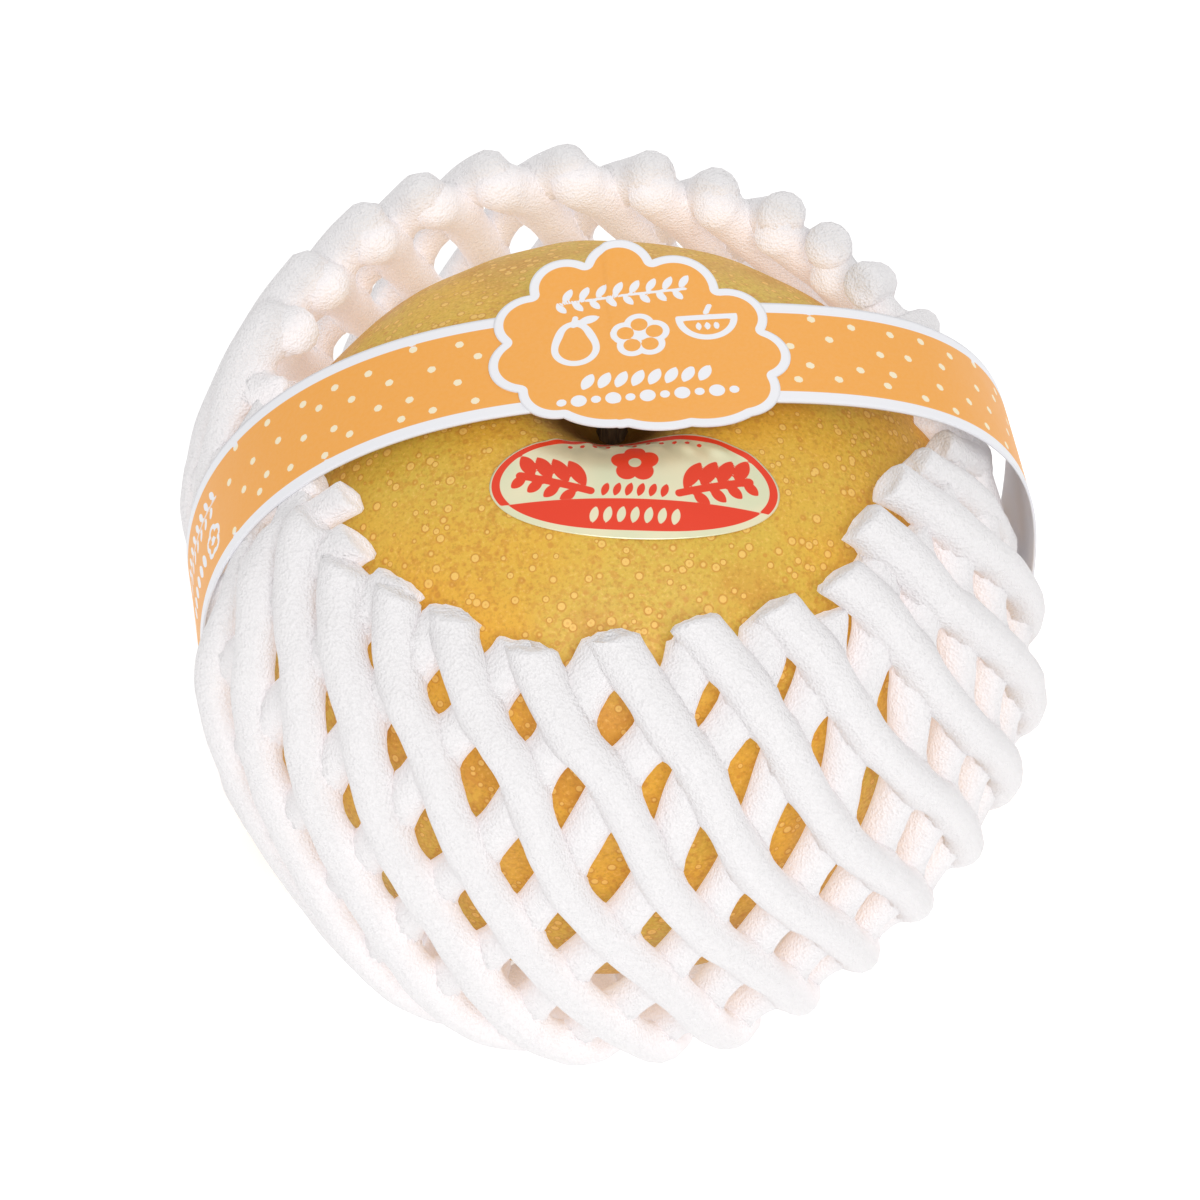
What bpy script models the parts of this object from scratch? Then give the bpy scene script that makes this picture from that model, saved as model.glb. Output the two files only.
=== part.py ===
"""Asian pear in a foam fruit net, with a paper belly band and an oval foil sticker.

The fruit stands upright with its stem cavity on top. A sleeve of white expanded foam
strands, two layers welded where they cross, is drawn up around it. A stiff paper band
runs over the top, down both sides outside the net and under the base, and widens to a
scalloped badge over the cavity. Metres, +Z up, +Y to the back, and the origin on the
surface that the band's flat bottom rests on, under the middle of the fruit.
"""

import math

import bmesh
import bpy
import numpy as np

MM = 0.001

# Fruit
PEAR_RADIUS = 47.0 * MM
PEAR_HALF_HEIGHT = 43.0 * MM
PEAR_SHOULDER = 2.3            # exponent of the outline: 2 is an ellipse, more is squarer
PEAR_CENTRE_Z = 45.2 * MM
CAVITY_DEPTH = 11.0 * MM
CAVITY_WIDTH = 7.6 * MM        # where the cavity is down to 37 % of its depth
CALYX_DEPTH = 6.0 * MM
CALYX_WIDTH = 8.5 * MM
PEAR_SHOULDER_STEPS = 10       # from the shoulder to the equator, and again below
PEAR_DIMPLE_STEPS = 9
PEAR_DIMPLE_RADIUS = 16.0 * MM
PEAR_TURN_STEPS = 32

# Stem stub in the cavity
STEM_RADIUS = 1.7 * MM
STEM_TOP_RADIUS = 2.1 * MM
STEM_LENGTH = 9.0 * MM
STEM_LEAN = 1.0 * MM
STEM_SIDES = 10
STEM_STEPS = 4

# Foam net
STRANDS = 29                   # in each of the two layers
STRAND_RADIUS = 2.4 * MM
STRAND_SIDES = 6
NET_FACE_SHARE = 0.62          # of the welded net's faces that are kept when it is simplified
NET_RADIUS = 50.3 * MM         # middle of the inner layer's strands at the equator
NET_TOP_HEIGHT = 46.3 * MM     # half height of the inner layer where it hugs the fruit
NET_LOOSE_HEIGHT = 48.0 * MM   # the same at the back, where the net stands away
NET_LOOSE_SHOULDER = 3.2
NET_BASE_HEIGHT = 42.5 * MM
NET_BASE_SHOULDER = 3.2
INNER_LIFT = 0.8 * MM          # of both layers, where neither band nor weight presses them
LAYER_STEP = 2.2 * MM          # from the inner layer's strands to the outer layer's
LAYER_STEP_BASE = 1.0 * MM     # under the fruit, where its weight presses the foam
BASE_PRESS_FROM = 34.0 * MM    # below the fruit's middle
BASE_PRESS_FULL = 40.0 * MM
RIM_HEIGHT_FRONT = 34.8 * MM
RIM_HEIGHT_BACK = 31.5 * MM
RIM_DIP = 5.0 * MM             # the rim is lower where the band holds it down
RIM_DIP_ANGLE = math.radians(13)
LOOSE_LEFT = (math.radians(75), math.radians(130))    # where the slack begins and is full
LOOSE_RIGHT = (math.radians(105), math.radians(180))
NET_END_RADIUS = 28.0 * MM     # the sleeve's open lower end, under the fruit
CROSSINGS = 9.0                # meshes from rim to lower end
RIM_PHASE = -0.7               # the rim is cut this far above a row of crossings
SHORTEST_RUN = 0.35            # of a strand's straight runs, which meet between crossings
PROFILE_STEPS = 240            # for measuring the length of the net's profile
SLOPE_STEP = 0.01              # share of that length over which its slope is read
NET_TURN = 0.524               # turns the net about the fruit, in strand steps
SQUEEZE_HALF_WIDTH = 9.5 * MM  # flat part of the squeeze under the band
SQUEEZE_FADE = 7.5 * MM
SQUEEZED_RADIUS = 1.8 * MM
SQUEEZED_LAYER_STEP = 0.8 * MM

# Paper band
BAND_THICKNESS = 0.6 * MM
BAND_WIDTH = 16.4 * MM
BAND_HALF_SPAN = 54.5 * MM
BAND_TOP = 45.2 * MM           # above the fruit's middle
BAND_LEFT_SHOULDER = 2.5
BAND_RIGHT_SHOULDER = 2.7
BAND_BASE = 44.9 * MM          # below the fruit's middle
BAND_BASE_SHOULDER = 3.1
BAND_TOP_SHIFT = 1.2 * MM      # towards the back
BAND_TOP_YAW = math.radians(3.9)
BAND_LEFT_SHIFT = -5.0 * MM
BAND_RIGHT_SHIFT = 7.0 * MM
BAND_TILT_LEFT = 2.2           # how strongly the band's faces turn to follow the net's curve
BAND_TILT_RIGHT = 1.0
BAND_FLATTEN = 1.012           # presses the base's curve down on to its flat bottom
BAND_COLUMNS = 60
BAND_ROWS = 2
BAND_MEASURE_STEPS = 1440      # for spacing the columns evenly round the loop
BAND_SLOPE_STEP = 0.001

# Scalloped badge, part of the band's sheet
BADGE_COLUMNS = 40
BADGE_HALF_LENGTH = 17.6 * MM
BADGE_HALF_WIDTH = 13.2 * MM
BADGE_CENTRE_X = 3.6 * MM
BADGE_CENTRE_ACROSS = 2.9 * MM  # from the band's middle line, towards the back
BADGE_SQUARENESS = 2.4
BADGE_SCALLOPS = 12
BADGE_SCALLOP_DEPTH = 1.7 * MM
BADGE_OUTLINE_STEPS = 720
BADGE_COLUMN_REACH = 0.5 * MM

# Oval sticker, sizes in plan
STICKER_HALF_LENGTH = 17.2 * MM
STICKER_HALF_WIDTH = 7.4 * MM
STICKER_CENTRE = (2.7 * MM, -15.4 * MM)
STICKER_THICKNESS = 0.6 * MM
STICKER_SPOKES = 32
STICKER_RINGS = 4

TOUCH_GAP = 0.35 * MM          # air between pieces that touch
WELD_DISTANCE = 0.01 * MM
CREASE_DEGREES = 50            # edges sharper than this stay sharp


def clear_objects():
    """Empties the scene of objects."""
    for old in list(bpy.data.objects):
        bpy.data.objects.remove(old, do_unlink=True)


def make_collection(name):
    """A new collection in the scene."""
    collection = bpy.data.collections.new(name)
    bpy.context.scene.collection.children.link(collection)
    return collection


def make_material(name, colour, roughness, metallic=0.0):
    """A Principled material of one colour."""
    material = bpy.data.materials.new(name)
    material.use_nodes = True
    shader = material.node_tree.nodes["Principled BSDF"]
    shader.inputs["Base Color"].default_value = (*colour, 1.0)
    shader.inputs["Roughness"].default_value = roughness
    shader.inputs["Metallic"].default_value = metallic
    material.diffuse_color = (*colour, 1.0)
    return material


def add_object(name, mesh, collection, material=None):
    """Links a new mesh object to a collection and dresses it."""
    obj = bpy.data.objects.new(name, mesh)
    collection.objects.link(obj)
    if material is not None:
        mesh.materials.clear()
        mesh.materials.append(material)
    return obj


def shade_round(mesh):
    """Smooth shading, kept sharp at the piece's real edges."""
    mesh.shade_smooth()
    mesh.set_sharp_from_angle(angle=math.radians(CREASE_DEGREES))


def smooth_step(value):
    """0 below 0, 1 above 1 and an S curve between."""
    value = np.clip(value, 0.0, 1.0)
    return value * value * (3.0 - 2.0 * value)


def signed_power(value, power):
    """A power that keeps its base's sign."""
    return np.sign(value) * np.abs(value) ** power


def superellipse(angle, half_width, half_height, exponent):
    """A point of a superellipse by its parameter angle."""
    across = half_width * signed_power(np.cos(angle), 2.0 / exponent)
    up = half_height * signed_power(np.sin(angle), 2.0 / exponent)
    return across, up


def skin_height(radius, dimple_depth, dimple_width):
    """Height of the fruit's skin from its middle, with the dimple at that pole."""
    share = np.clip(radius / PEAR_RADIUS, 0.0, 1.0)
    shoulder = (1.0 - share ** PEAR_SHOULDER) ** (1.0 / PEAR_SHOULDER)
    dimple = dimple_depth * np.exp(-((radius / dimple_width) ** 2))
    return PEAR_HALF_HEIGHT * shoulder - dimple


def pear_outline():
    """The turned outline from the cavity's bottom to the calyx, outer side."""
    dimple = np.linspace(0.0, PEAR_DIMPLE_RADIUS, PEAR_DIMPLE_STEPS)
    start = math.acos((PEAR_DIMPLE_RADIUS / PEAR_RADIUS) ** (PEAR_SHOULDER / 2))
    down = np.linspace(start, 0.0, PEAR_SHOULDER_STEPS)[1:]
    shoulder = PEAR_RADIUS * np.cos(down) ** (2.0 / PEAR_SHOULDER)
    radius = np.concatenate([dimple, shoulder])
    top = skin_height(radius, CAVITY_DEPTH, CAVITY_WIDTH)
    bottom = -skin_height(radius, CALYX_DEPTH, CALYX_WIDTH)
    radius = np.concatenate([radius, radius[-2::-1]])
    height = np.concatenate([top, bottom[-2::-1]])
    return radius, height


def build_pear(collection, material):
    """The fruit: its outline turned about the upright axis."""
    radius, height = pear_outline()
    mesh = bpy.data.meshes.new("pear")
    points = [(float(r), 0.0, float(z)) for r, z in zip(radius, height)]
    edges = [(i, i + 1) for i in range(len(points) - 1)]
    mesh.from_pydata(points, edges, [])
    pear = add_object("pear", mesh, collection)
    pear.location.z = PEAR_CENTRE_Z
    screw = pear.modifiers.new("turn", "SCREW")
    screw.steps = PEAR_TURN_STEPS
    screw.render_steps = PEAR_TURN_STEPS
    screw.use_merge_vertices = True
    screw.merge_threshold = WELD_DISTANCE
    screw.use_smooth_shade = True
    mesh.materials.append(material)
    return pear


def section_object(name, radius, sides):
    """A regular polygon that a curve carries along its length as its section."""
    outline = bpy.data.curves.new(name, "CURVE")
    outline.dimensions = "2D"
    spline = outline.splines.new("POLY")
    spline.points.add(sides - 1)
    for corner, point in enumerate(spline.points):
        angle = -2 * math.pi * corner / sides
        point.co = (radius * math.cos(angle), radius * math.sin(angle), 0.0, 1.0)
    spline.use_cyclic_u = True
    section = bpy.data.objects.new(name, outline)
    bpy.context.scene.collection.objects.link(section)
    return section


def tube_mesh(name, points, radii, section):
    """A closed tube along points, each with its own factor of the section's size, as a mesh."""
    curve = bpy.data.curves.new(name, "CURVE")
    curve.dimensions = "3D"
    curve.bevel_mode = "OBJECT"
    curve.bevel_object = section
    curve.use_fill_caps = True
    spline = curve.splines.new("POLY")
    spline.points.add(len(points) - 1)
    flat = np.ones((len(points), 4))
    flat[:, :3] = points
    spline.points.foreach_set("co", flat.ravel())
    spline.points.foreach_set("radius", radii)
    holder = bpy.data.objects.new(name, curve)
    bpy.context.scene.collection.objects.link(holder)
    graph = bpy.context.evaluated_depsgraph_get()
    mesh = bpy.data.meshes.new_from_object(holder.evaluated_get(graph))
    bpy.data.objects.remove(holder, do_unlink=True)
    bpy.data.curves.remove(curve)
    weld = bmesh.new()
    weld.from_mesh(mesh)
    bmesh.ops.remove_doubles(weld, verts=weld.verts, dist=WELD_DISTANCE)
    bmesh.ops.recalc_face_normals(weld, faces=weld.faces)
    weld.to_mesh(mesh)
    weld.free()
    return mesh


def build_stem(collection, material):
    """The clipped stem stub, standing on the cavity's bottom."""
    foot = PEAR_CENTRE_Z + float(skin_height(STEM_RADIUS, CAVITY_DEPTH, CAVITY_WIDTH)) + TOUCH_GAP
    share = np.linspace(0.0, 1.0, STEM_STEPS + 1)
    points = np.stack([STEM_LEAN * share ** 2, 0.0 * share, foot + STEM_LENGTH * share], axis=1)
    radii = 1.0 + (STEM_TOP_RADIUS / STEM_RADIUS - 1.0) * share ** 3
    section = section_object("stem_section", STEM_RADIUS, STEM_SIDES)
    mesh = tube_mesh("stem", points, radii, section)
    bpy.data.objects.remove(section, do_unlink=True)
    stem = add_object("stem", mesh, collection, material)
    shade_round(mesh)
    return stem


def looseness(azimuth):
    """How far the net stands away: 0 at the front, 1 at the back."""
    turned = (azimuth + math.pi) % (2 * math.pi) - math.pi
    start, full = LOOSE_RIGHT if turned > 0 else LOOSE_LEFT
    return smooth_step((abs(turned) - start) / (full - start))


def rim_height(azimuth, loose):
    """Height of the net's cut rim above the fruit's middle, lower under the band at both sides."""
    turned = abs((azimuth + math.pi) % (2 * math.pi) - math.pi)
    dip = RIM_DIP * math.exp(-(((turned - math.pi / 2) / RIM_DIP_ANGLE) ** 2))
    return RIM_HEIGHT_FRONT + (RIM_HEIGHT_BACK - RIM_HEIGHT_FRONT) * loose - dip


def net_profile(azimuth, share):
    """Inner layer's radius and height at a share of the way from rim to lower end."""
    loose = float(looseness(azimuth))
    top = NET_TOP_HEIGHT + (NET_LOOSE_HEIGHT - NET_TOP_HEIGHT) * loose
    shoulder = PEAR_SHOULDER + (NET_LOOSE_SHOULDER - PEAR_SHOULDER) * loose
    rim_angle = math.asin((rim_height(azimuth, loose) / top) ** (shoulder / 2.0))
    above = np.linspace(rim_angle, 0.0, PROFILE_STEPS)
    upper_r, upper_z = superellipse(above, NET_RADIUS, top, shoulder)
    base_angle = -(np.linspace(0.0, 1.0, PROFILE_STEPS) ** 2) * math.pi / 2
    lower_r, lower_z = superellipse(base_angle, NET_RADIUS, NET_BASE_HEIGHT, NET_BASE_SHOULDER)
    keep = lower_r >= NET_END_RADIUS
    radius = np.concatenate([upper_r, lower_r[keep][1:]])
    height = np.concatenate([upper_z, lower_z[keep][1:]])
    length = np.concatenate([[0.0], np.cumsum(np.hypot(np.diff(radius), np.diff(height)))])
    at = share * length[-1]
    return float(np.interp(at, length, radius)), float(np.interp(at, length, height))


def band_offset(x):
    """How far back the band's middle lies at a place across the fruit."""
    slope = math.tan(BAND_TOP_YAW)
    end_shift = np.where(x > 0, BAND_RIGHT_SHIFT, -BAND_LEFT_SHIFT)
    share = x / BAND_HALF_SPAN
    return BAND_TOP_SHIFT + slope * x + (end_shift - slope * BAND_HALF_SPAN) * share ** 3


def squeeze(point):
    """1 where the band presses the net, 0 away from it."""
    away = abs(point[1] - float(band_offset(np.float64(point[0])))) - SQUEEZE_HALF_WIDTH
    return float(1.0 - smooth_step(away / SQUEEZE_FADE))


def layer_offset(outer, height, pressed):
    """How far outward a layer's strands lie from the profile, pressed flatter by band and weight."""
    under = float(smooth_step((-height - BASE_PRESS_FROM) / (BASE_PRESS_FULL - BASE_PRESS_FROM)))
    offset = INNER_LIFT * (1.0 - under) * (1.0 - pressed) - pressed * (STRAND_RADIUS - SQUEEZED_RADIUS)
    if outer:
        free = LAYER_STEP + (LAYER_STEP_BASE - LAYER_STEP) * under
        offset += min(free, free + (SQUEEZED_LAYER_STEP - free) * pressed)
    return offset


def strand_place(azimuth, share, outer):
    """A point on a strand's middle line and the factor of its radius there."""
    radius, height = net_profile(azimuth, share)
    before = net_profile(azimuth, max(share - SLOPE_STEP, 0.0))
    after = net_profile(azimuth, min(share + SLOPE_STEP, 1.0))
    along = np.array([after[0] - before[0], after[1] - before[1]])
    along /= np.linalg.norm(along)
    pressed = squeeze((radius * math.sin(azimuth), -radius * math.cos(azimuth)))
    offset = layer_offset(outer, height, pressed)
    radius -= along[1] * offset
    height += along[0] * offset
    point = (radius * math.sin(azimuth), -radius * math.cos(azimuth), PEAR_CENTRE_Z + height)
    return point, 1.0 - pressed * (1.0 - SQUEEZED_RADIUS / STRAND_RADIUS)


def strand_points(index, outer):
    """Points and radius factors of one strand; the outer layer drifts to +X going down."""
    last_row = RIM_PHASE + CROSSINGS
    between = np.arange(0.5, last_row - SHORTEST_RUN, 1.0)
    rows = np.concatenate([[RIM_PHASE], between, [last_row]])
    drift = rows / 2 if outer else -rows / 2
    azimuths = (index + NET_TURN + drift) * 2 * math.pi / STRANDS
    shares = (rows - RIM_PHASE) / CROSSINGS
    places = [strand_place(azimuth, share, outer) for azimuth, share in zip(azimuths, shares)]
    points = np.array([point for point, factor in places])
    factors = np.array([factor for point, factor in places])
    return points, factors


def strand_meshes():
    """All strands of both layers, each a closed tube."""
    section = section_object("strand_section", STRAND_RADIUS, STRAND_SIDES)
    meshes = []
    for outer in (False, True):
        for index in range(STRANDS):
            points, factors = strand_points(index, outer)
            meshes.append(tube_mesh("strand", points, factors, section))
    bpy.data.objects.remove(section, do_unlink=True)
    return meshes


def build_net(collection, material):
    """The sleeve: two layers of slanting strands, fused where they cross."""
    strands = make_collection("net_strands")
    meshes = strand_meshes()
    first = add_object("foam_net", meshes[0], collection)
    for mesh in meshes[1:]:
        add_object("strand", mesh, strands)
    union = first.modifiers.new("weld", "BOOLEAN")
    union.operation = "UNION"
    union.operand_type = "COLLECTION"
    union.collection = strands
    union.solver = "MANIFOLD"
    simplify = first.modifiers.new("simplify", "DECIMATE")
    simplify.ratio = NET_FACE_SHARE
    graph = bpy.context.evaluated_depsgraph_get()
    welded = bpy.data.meshes.new_from_object(first.evaluated_get(graph))
    welded.name = "foam_net"
    bpy.data.objects.remove(first, do_unlink=True)
    for strand in list(strands.objects):
        bpy.data.objects.remove(strand, do_unlink=True)
    bpy.data.collections.remove(strands)
    net = add_object("foam_net", welded, collection, material)
    shade_round(welded)
    return net


def band_middle(angle):
    """The band's middle line at a loop angle: 0 on the right, a quarter turn at the top."""
    cosine = np.cos(angle)
    sine = np.sin(angle)
    upper = np.where(cosine > 0, BAND_RIGHT_SHOULDER, BAND_LEFT_SHOULDER)
    shoulder = np.where(sine >= 0, upper, BAND_BASE_SHOULDER)
    reach = np.where(sine >= 0, BAND_TOP, BAND_BASE)
    x = BAND_HALF_SPAN * signed_power(cosine, 2.0 / shoulder)
    y = band_offset(x)
    draw_in = (1.0 - np.abs(y / BAND_HALF_SPAN) ** shoulder) ** (1.0 / shoulder)
    z = reach * signed_power(sine, 2.0 / shoulder) * draw_in
    z = np.where(z < 0, np.maximum(z * BAND_FLATTEN, -BAND_BASE), z)
    return np.stack([x * draw_in, y, z], axis=-1)


def unit(vectors):
    """Vectors of length one."""
    return vectors / np.linalg.norm(vectors, axis=-1, keepdims=True)


def band_frame(angle):
    """The band's middle, its outward side and its direction across, at loop angles."""
    middle = band_middle(angle)
    along = unit(band_middle(angle + BAND_SLOPE_STEP) - band_middle(angle - BAND_SLOPE_STEP))
    upper = middle[:, 2] >= 0
    reach = np.where(upper, BAND_TOP, BAND_BASE)
    shoulder = np.where(upper, (BAND_LEFT_SHOULDER + BAND_RIGHT_SHOULDER) / 2, BAND_BASE_SHOULDER)
    tilt = np.where(middle[:, 0] > 0, BAND_TILT_RIGHT, BAND_TILT_LEFT) * upper + 1.0 * ~upper
    across_run = np.hypot(middle[:, 0], middle[:, 1]) + WELD_DISTANCE
    push = (across_run / BAND_HALF_SPAN) ** (shoulder - 1) / BAND_HALF_SPAN
    lift = np.sign(middle[:, 2]) * (np.abs(middle[:, 2]) / reach) ** (shoulder - 1) / reach
    sideways = middle[:, :2] / across_run[:, None] * push[:, None]
    outward = np.stack([sideways[:, 0], sideways[:, 1] * tilt, lift], axis=-1)
    flat_base = middle[:, 2] <= -BAND_BASE + WELD_DISTANCE
    outward[flat_base] = (0.0, 0.0, -1.0)
    outward -= np.sum(outward * along, axis=-1, keepdims=True) * along
    outward = unit(outward)
    return middle, outward, unit(np.cross(along, outward))


def badge_outline():
    """The badge's scalloped edge, along and across the band, from the badge's middle."""
    angle = np.linspace(-math.pi, math.pi, BADGE_OUTLINE_STEPS)
    along, across = superellipse(angle, BADGE_HALF_LENGTH, BADGE_HALF_WIDTH, BADGE_SQUARENESS)
    turn = np.arctan2(across, along)
    bulge = BADGE_SCALLOP_DEPTH * np.abs(np.cos(turn * BADGE_SCALLOPS / 2))
    distance = np.hypot(along, across) + bulge
    return distance * np.cos(turn), distance * np.sin(turn)


def band_reach(x, upper):
    """How far the sheet reaches to the front and back of its middle line at each column."""
    front = np.full(len(x), -BAND_WIDTH / 2)
    back = np.full(len(x), BAND_WIDTH / 2)
    along, across = badge_outline()
    for column in np.flatnonzero(upper):
        near = np.abs(along + BADGE_CENTRE_X - x[column]) < BADGE_COLUMN_REACH
        if near.any():
            edge = across[near] + BADGE_CENTRE_ACROSS
            front[column] = min(front[column], edge.min())
            back[column] = max(back[column], edge.max())
    return front, back


def band_angles():
    """Loop angles of the sheet's columns: close together on the badge, even elsewhere."""
    top = np.linspace(0.0, math.pi, BAND_MEASURE_STEPS)
    top_x = band_middle(top)[:, 0]
    half = BADGE_HALF_LENGTH + BADGE_SCALLOP_DEPTH
    badge_x = np.linspace(BADGE_CENTRE_X + half, BADGE_CENTRE_X - half, BADGE_COLUMNS)
    badge = np.interp(-badge_x, -top_x, top)
    rest = np.linspace(badge[-1], badge[0] + 2 * math.pi, BAND_MEASURE_STEPS)
    middle = band_middle(rest)
    length = np.concatenate([[0.0], np.cumsum(np.linalg.norm(np.diff(middle, axis=0), axis=1))])
    even = np.interp(np.linspace(0.0, length[-1], BAND_COLUMNS + 2)[1:-1], length, rest)
    return np.concatenate([badge, even])


def grid_faces(columns, rows, cyclic):
    """Quads of a grid of columns and rows, closed on itself along the columns if cyclic."""
    last = columns if cyclic else columns - 1
    faces = []
    for column in range(last):
        here = column * (rows + 1)
        there = ((column + 1) % columns) * (rows + 1)
        for row in range(rows):
            faces.append((here + row, here + row + 1, there + row + 1, there + row))
    return faces


def build_band(collection, material):
    """The paper band and its badge: one sheet round the fruit and the net."""
    angles = band_angles()
    middle, outward, across = band_frame(angles)
    front, back = band_reach(middle[:, 0], middle[:, 2] > 0)
    share = np.linspace(0.0, 1.0, BAND_ROWS + 1)
    place = front[:, None] + (back - front)[:, None] * share[None, :]
    points = middle[:, None, :] + across[:, None, :] * place[..., None]
    points[..., 2] = np.maximum(points[..., 2], -BAND_BASE)
    mesh = bpy.data.meshes.new("paper_band")
    faces = grid_faces(len(angles), BAND_ROWS, cyclic=True)
    mesh.from_pydata(points.reshape(-1, 3).tolist(), [], faces)
    band = add_object("paper_band", mesh, collection, material)
    band.location.z = PEAR_CENTRE_Z
    paper = band.modifiers.new("paper", "SOLIDIFY")
    paper.thickness = BAND_THICKNESS
    paper.offset = 0.0
    paper.use_even_offset = True
    shade_round(mesh)
    return band


def build_sticker(collection, material):
    """The oval foil label, lying on the skin and dipping into the cavity's lip."""
    spokes = np.linspace(0.0, 2 * math.pi, STICKER_SPOKES, endpoint=False)
    rings = np.linspace(0.0, 1.0, STICKER_RINGS + 1)[1:]
    x = STICKER_CENTRE[0] + STICKER_HALF_LENGTH * rings[:, None] * np.cos(spokes)[None, :]
    y = STICKER_CENTRE[1] + STICKER_HALF_WIDTH * rings[:, None] * np.sin(spokes)[None, :]
    x = np.concatenate([[STICKER_CENTRE[0]], x.ravel()])
    y = np.concatenate([[STICKER_CENTRE[1]], y.ravel()])
    z = skin_height(np.hypot(x, y), CAVITY_DEPTH, CAVITY_WIDTH) + TOUCH_GAP
    faces = [(0, 1 + i, 1 + (i + 1) % STICKER_SPOKES) for i in range(STICKER_SPOKES)]
    for ring in range(STICKER_RINGS - 1):
        inner = 1 + ring * STICKER_SPOKES
        outer = inner + STICKER_SPOKES
        for i in range(STICKER_SPOKES):
            j = (i + 1) % STICKER_SPOKES
            faces.append((inner + i, outer + i, outer + j, inner + j))
    mesh = bpy.data.meshes.new("oval_sticker")
    mesh.from_pydata(np.stack([x, y, z], axis=1).tolist(), [], faces)
    sticker = add_object("oval_sticker", mesh, collection, material)
    sticker.location.z = PEAR_CENTRE_Z
    foil = sticker.modifiers.new("foil", "SOLIDIFY")
    foil.thickness = STICKER_THICKNESS
    foil.offset = 1.0
    shade_round(mesh)
    return sticker


def build_all():
    """Builds every piece of the object."""
    clear_objects()
    parts = make_collection("netted_pear")
    skin = make_material("pear_skin", (0.60, 0.36, 0.05), 0.45)
    wood = make_material("stem_wood", (0.20, 0.12, 0.05), 0.8)
    foam = make_material("white_foam", (0.93, 0.92, 0.90), 0.7)
    paper = make_material("orange_paper", (0.91, 0.40, 0.07), 0.5)
    foil = make_material("gold_foil", (0.78, 0.70, 0.42), 0.3, metallic=0.6)
    build_pear(parts, skin)
    build_stem(parts, wood)
    build_net(parts, foam)
    build_band(parts, paper)
    build_sticker(parts, foil)


build_all()
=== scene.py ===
"""Looks of an Asian pear in a white foam fruit net, with a paper belly band and a foil sticker.

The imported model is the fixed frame. Every surface here is worked out with numpy in
millimetres, and turned into metres when it becomes a mesh. The fruit stands on +Z, the
sticker faces -Y. Heights are measured from the fruit's middle.
"""

import logging
import math
from dataclasses import dataclass, field
from enum import Enum
from typing import Any, Union

import bpy
import numpy as np
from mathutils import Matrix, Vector


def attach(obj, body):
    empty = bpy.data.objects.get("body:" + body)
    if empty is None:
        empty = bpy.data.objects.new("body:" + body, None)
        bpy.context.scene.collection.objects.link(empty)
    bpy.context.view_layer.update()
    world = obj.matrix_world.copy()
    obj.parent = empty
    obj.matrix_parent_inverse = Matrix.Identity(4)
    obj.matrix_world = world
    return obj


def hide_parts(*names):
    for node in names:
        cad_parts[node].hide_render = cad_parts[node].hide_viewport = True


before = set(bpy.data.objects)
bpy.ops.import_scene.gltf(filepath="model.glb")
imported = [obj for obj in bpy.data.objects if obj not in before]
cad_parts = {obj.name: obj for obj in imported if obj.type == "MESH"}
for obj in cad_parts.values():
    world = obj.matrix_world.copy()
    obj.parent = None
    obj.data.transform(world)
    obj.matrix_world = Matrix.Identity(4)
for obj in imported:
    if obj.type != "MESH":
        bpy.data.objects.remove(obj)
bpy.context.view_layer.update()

LOG = logging.getLogger("netted_pear")
MM = 0.001
BODY = "root"
PEAR_CENTRE_Z = 45.2
SHARP_EDGE = math.radians(55)
FULL_TURN = 2 * math.pi

Colour = tuple[float, float, float]
Point = tuple[float, float]
Array = np.ndarray


def smooth_step(value: Array) -> Array:
    """An S curve: 0 below 0, 1 above 1, and 3v^2 - 2v^3 between."""
    value = np.clip(value, 0.0, 1.0)
    return value * value * (3.0 - 2.0 * value)


def signed_power(value: Array, power: Any) -> Array:
    """A power of the size of a value that keeps the value's sign."""
    return np.sign(value) * np.abs(value) ** power


def unit(vectors: Array) -> Array:
    """Vectors along the last axis, made length one."""
    return vectors / (np.linalg.norm(vectors, axis=-1, keepdims=True) + 1e-12)


def dot(first: Array, second: Array) -> Array:
    """The dot product along the last axis, which is kept."""
    return np.sum(first * second, axis=-1, keepdims=True)


def bell(value: Array) -> Array:
    """A bell shape: e to the minus square of the value, which is 1 at 0."""
    return np.exp(-(value ** 2))


def half_turned(azimuth: Array) -> Array:
    """An azimuth brought to within half a turn of the front, which is 0."""
    return (azimuth + math.pi) % FULL_TURN - math.pi


def waves(points: Array, length: float, seed: int, count: int = 6) -> Array:
    """Smooth lumps: the mean of a few sine waves in seeded directions.

    Args:
        points: places in millimetres, along the last axis.
        length: the shortest wavelength in millimetres; the others are up to twice it.
        seed: the seed of the directions and phases.
        count: how many waves are added.

    Returns:
        A value from about -1 to 1 at each place.
    """
    draw = np.random.default_rng(seed)
    direction = unit(draw.normal(size=(count, 3)))
    pitch = FULL_TURN / (length * draw.uniform(1.0, 2.0, size=count))
    phase = draw.uniform(0, FULL_TURN, size=count)
    return np.sin(points @ (direction * pitch[:, None]).T + phase).sum(axis=-1) / math.sqrt(count)


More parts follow.
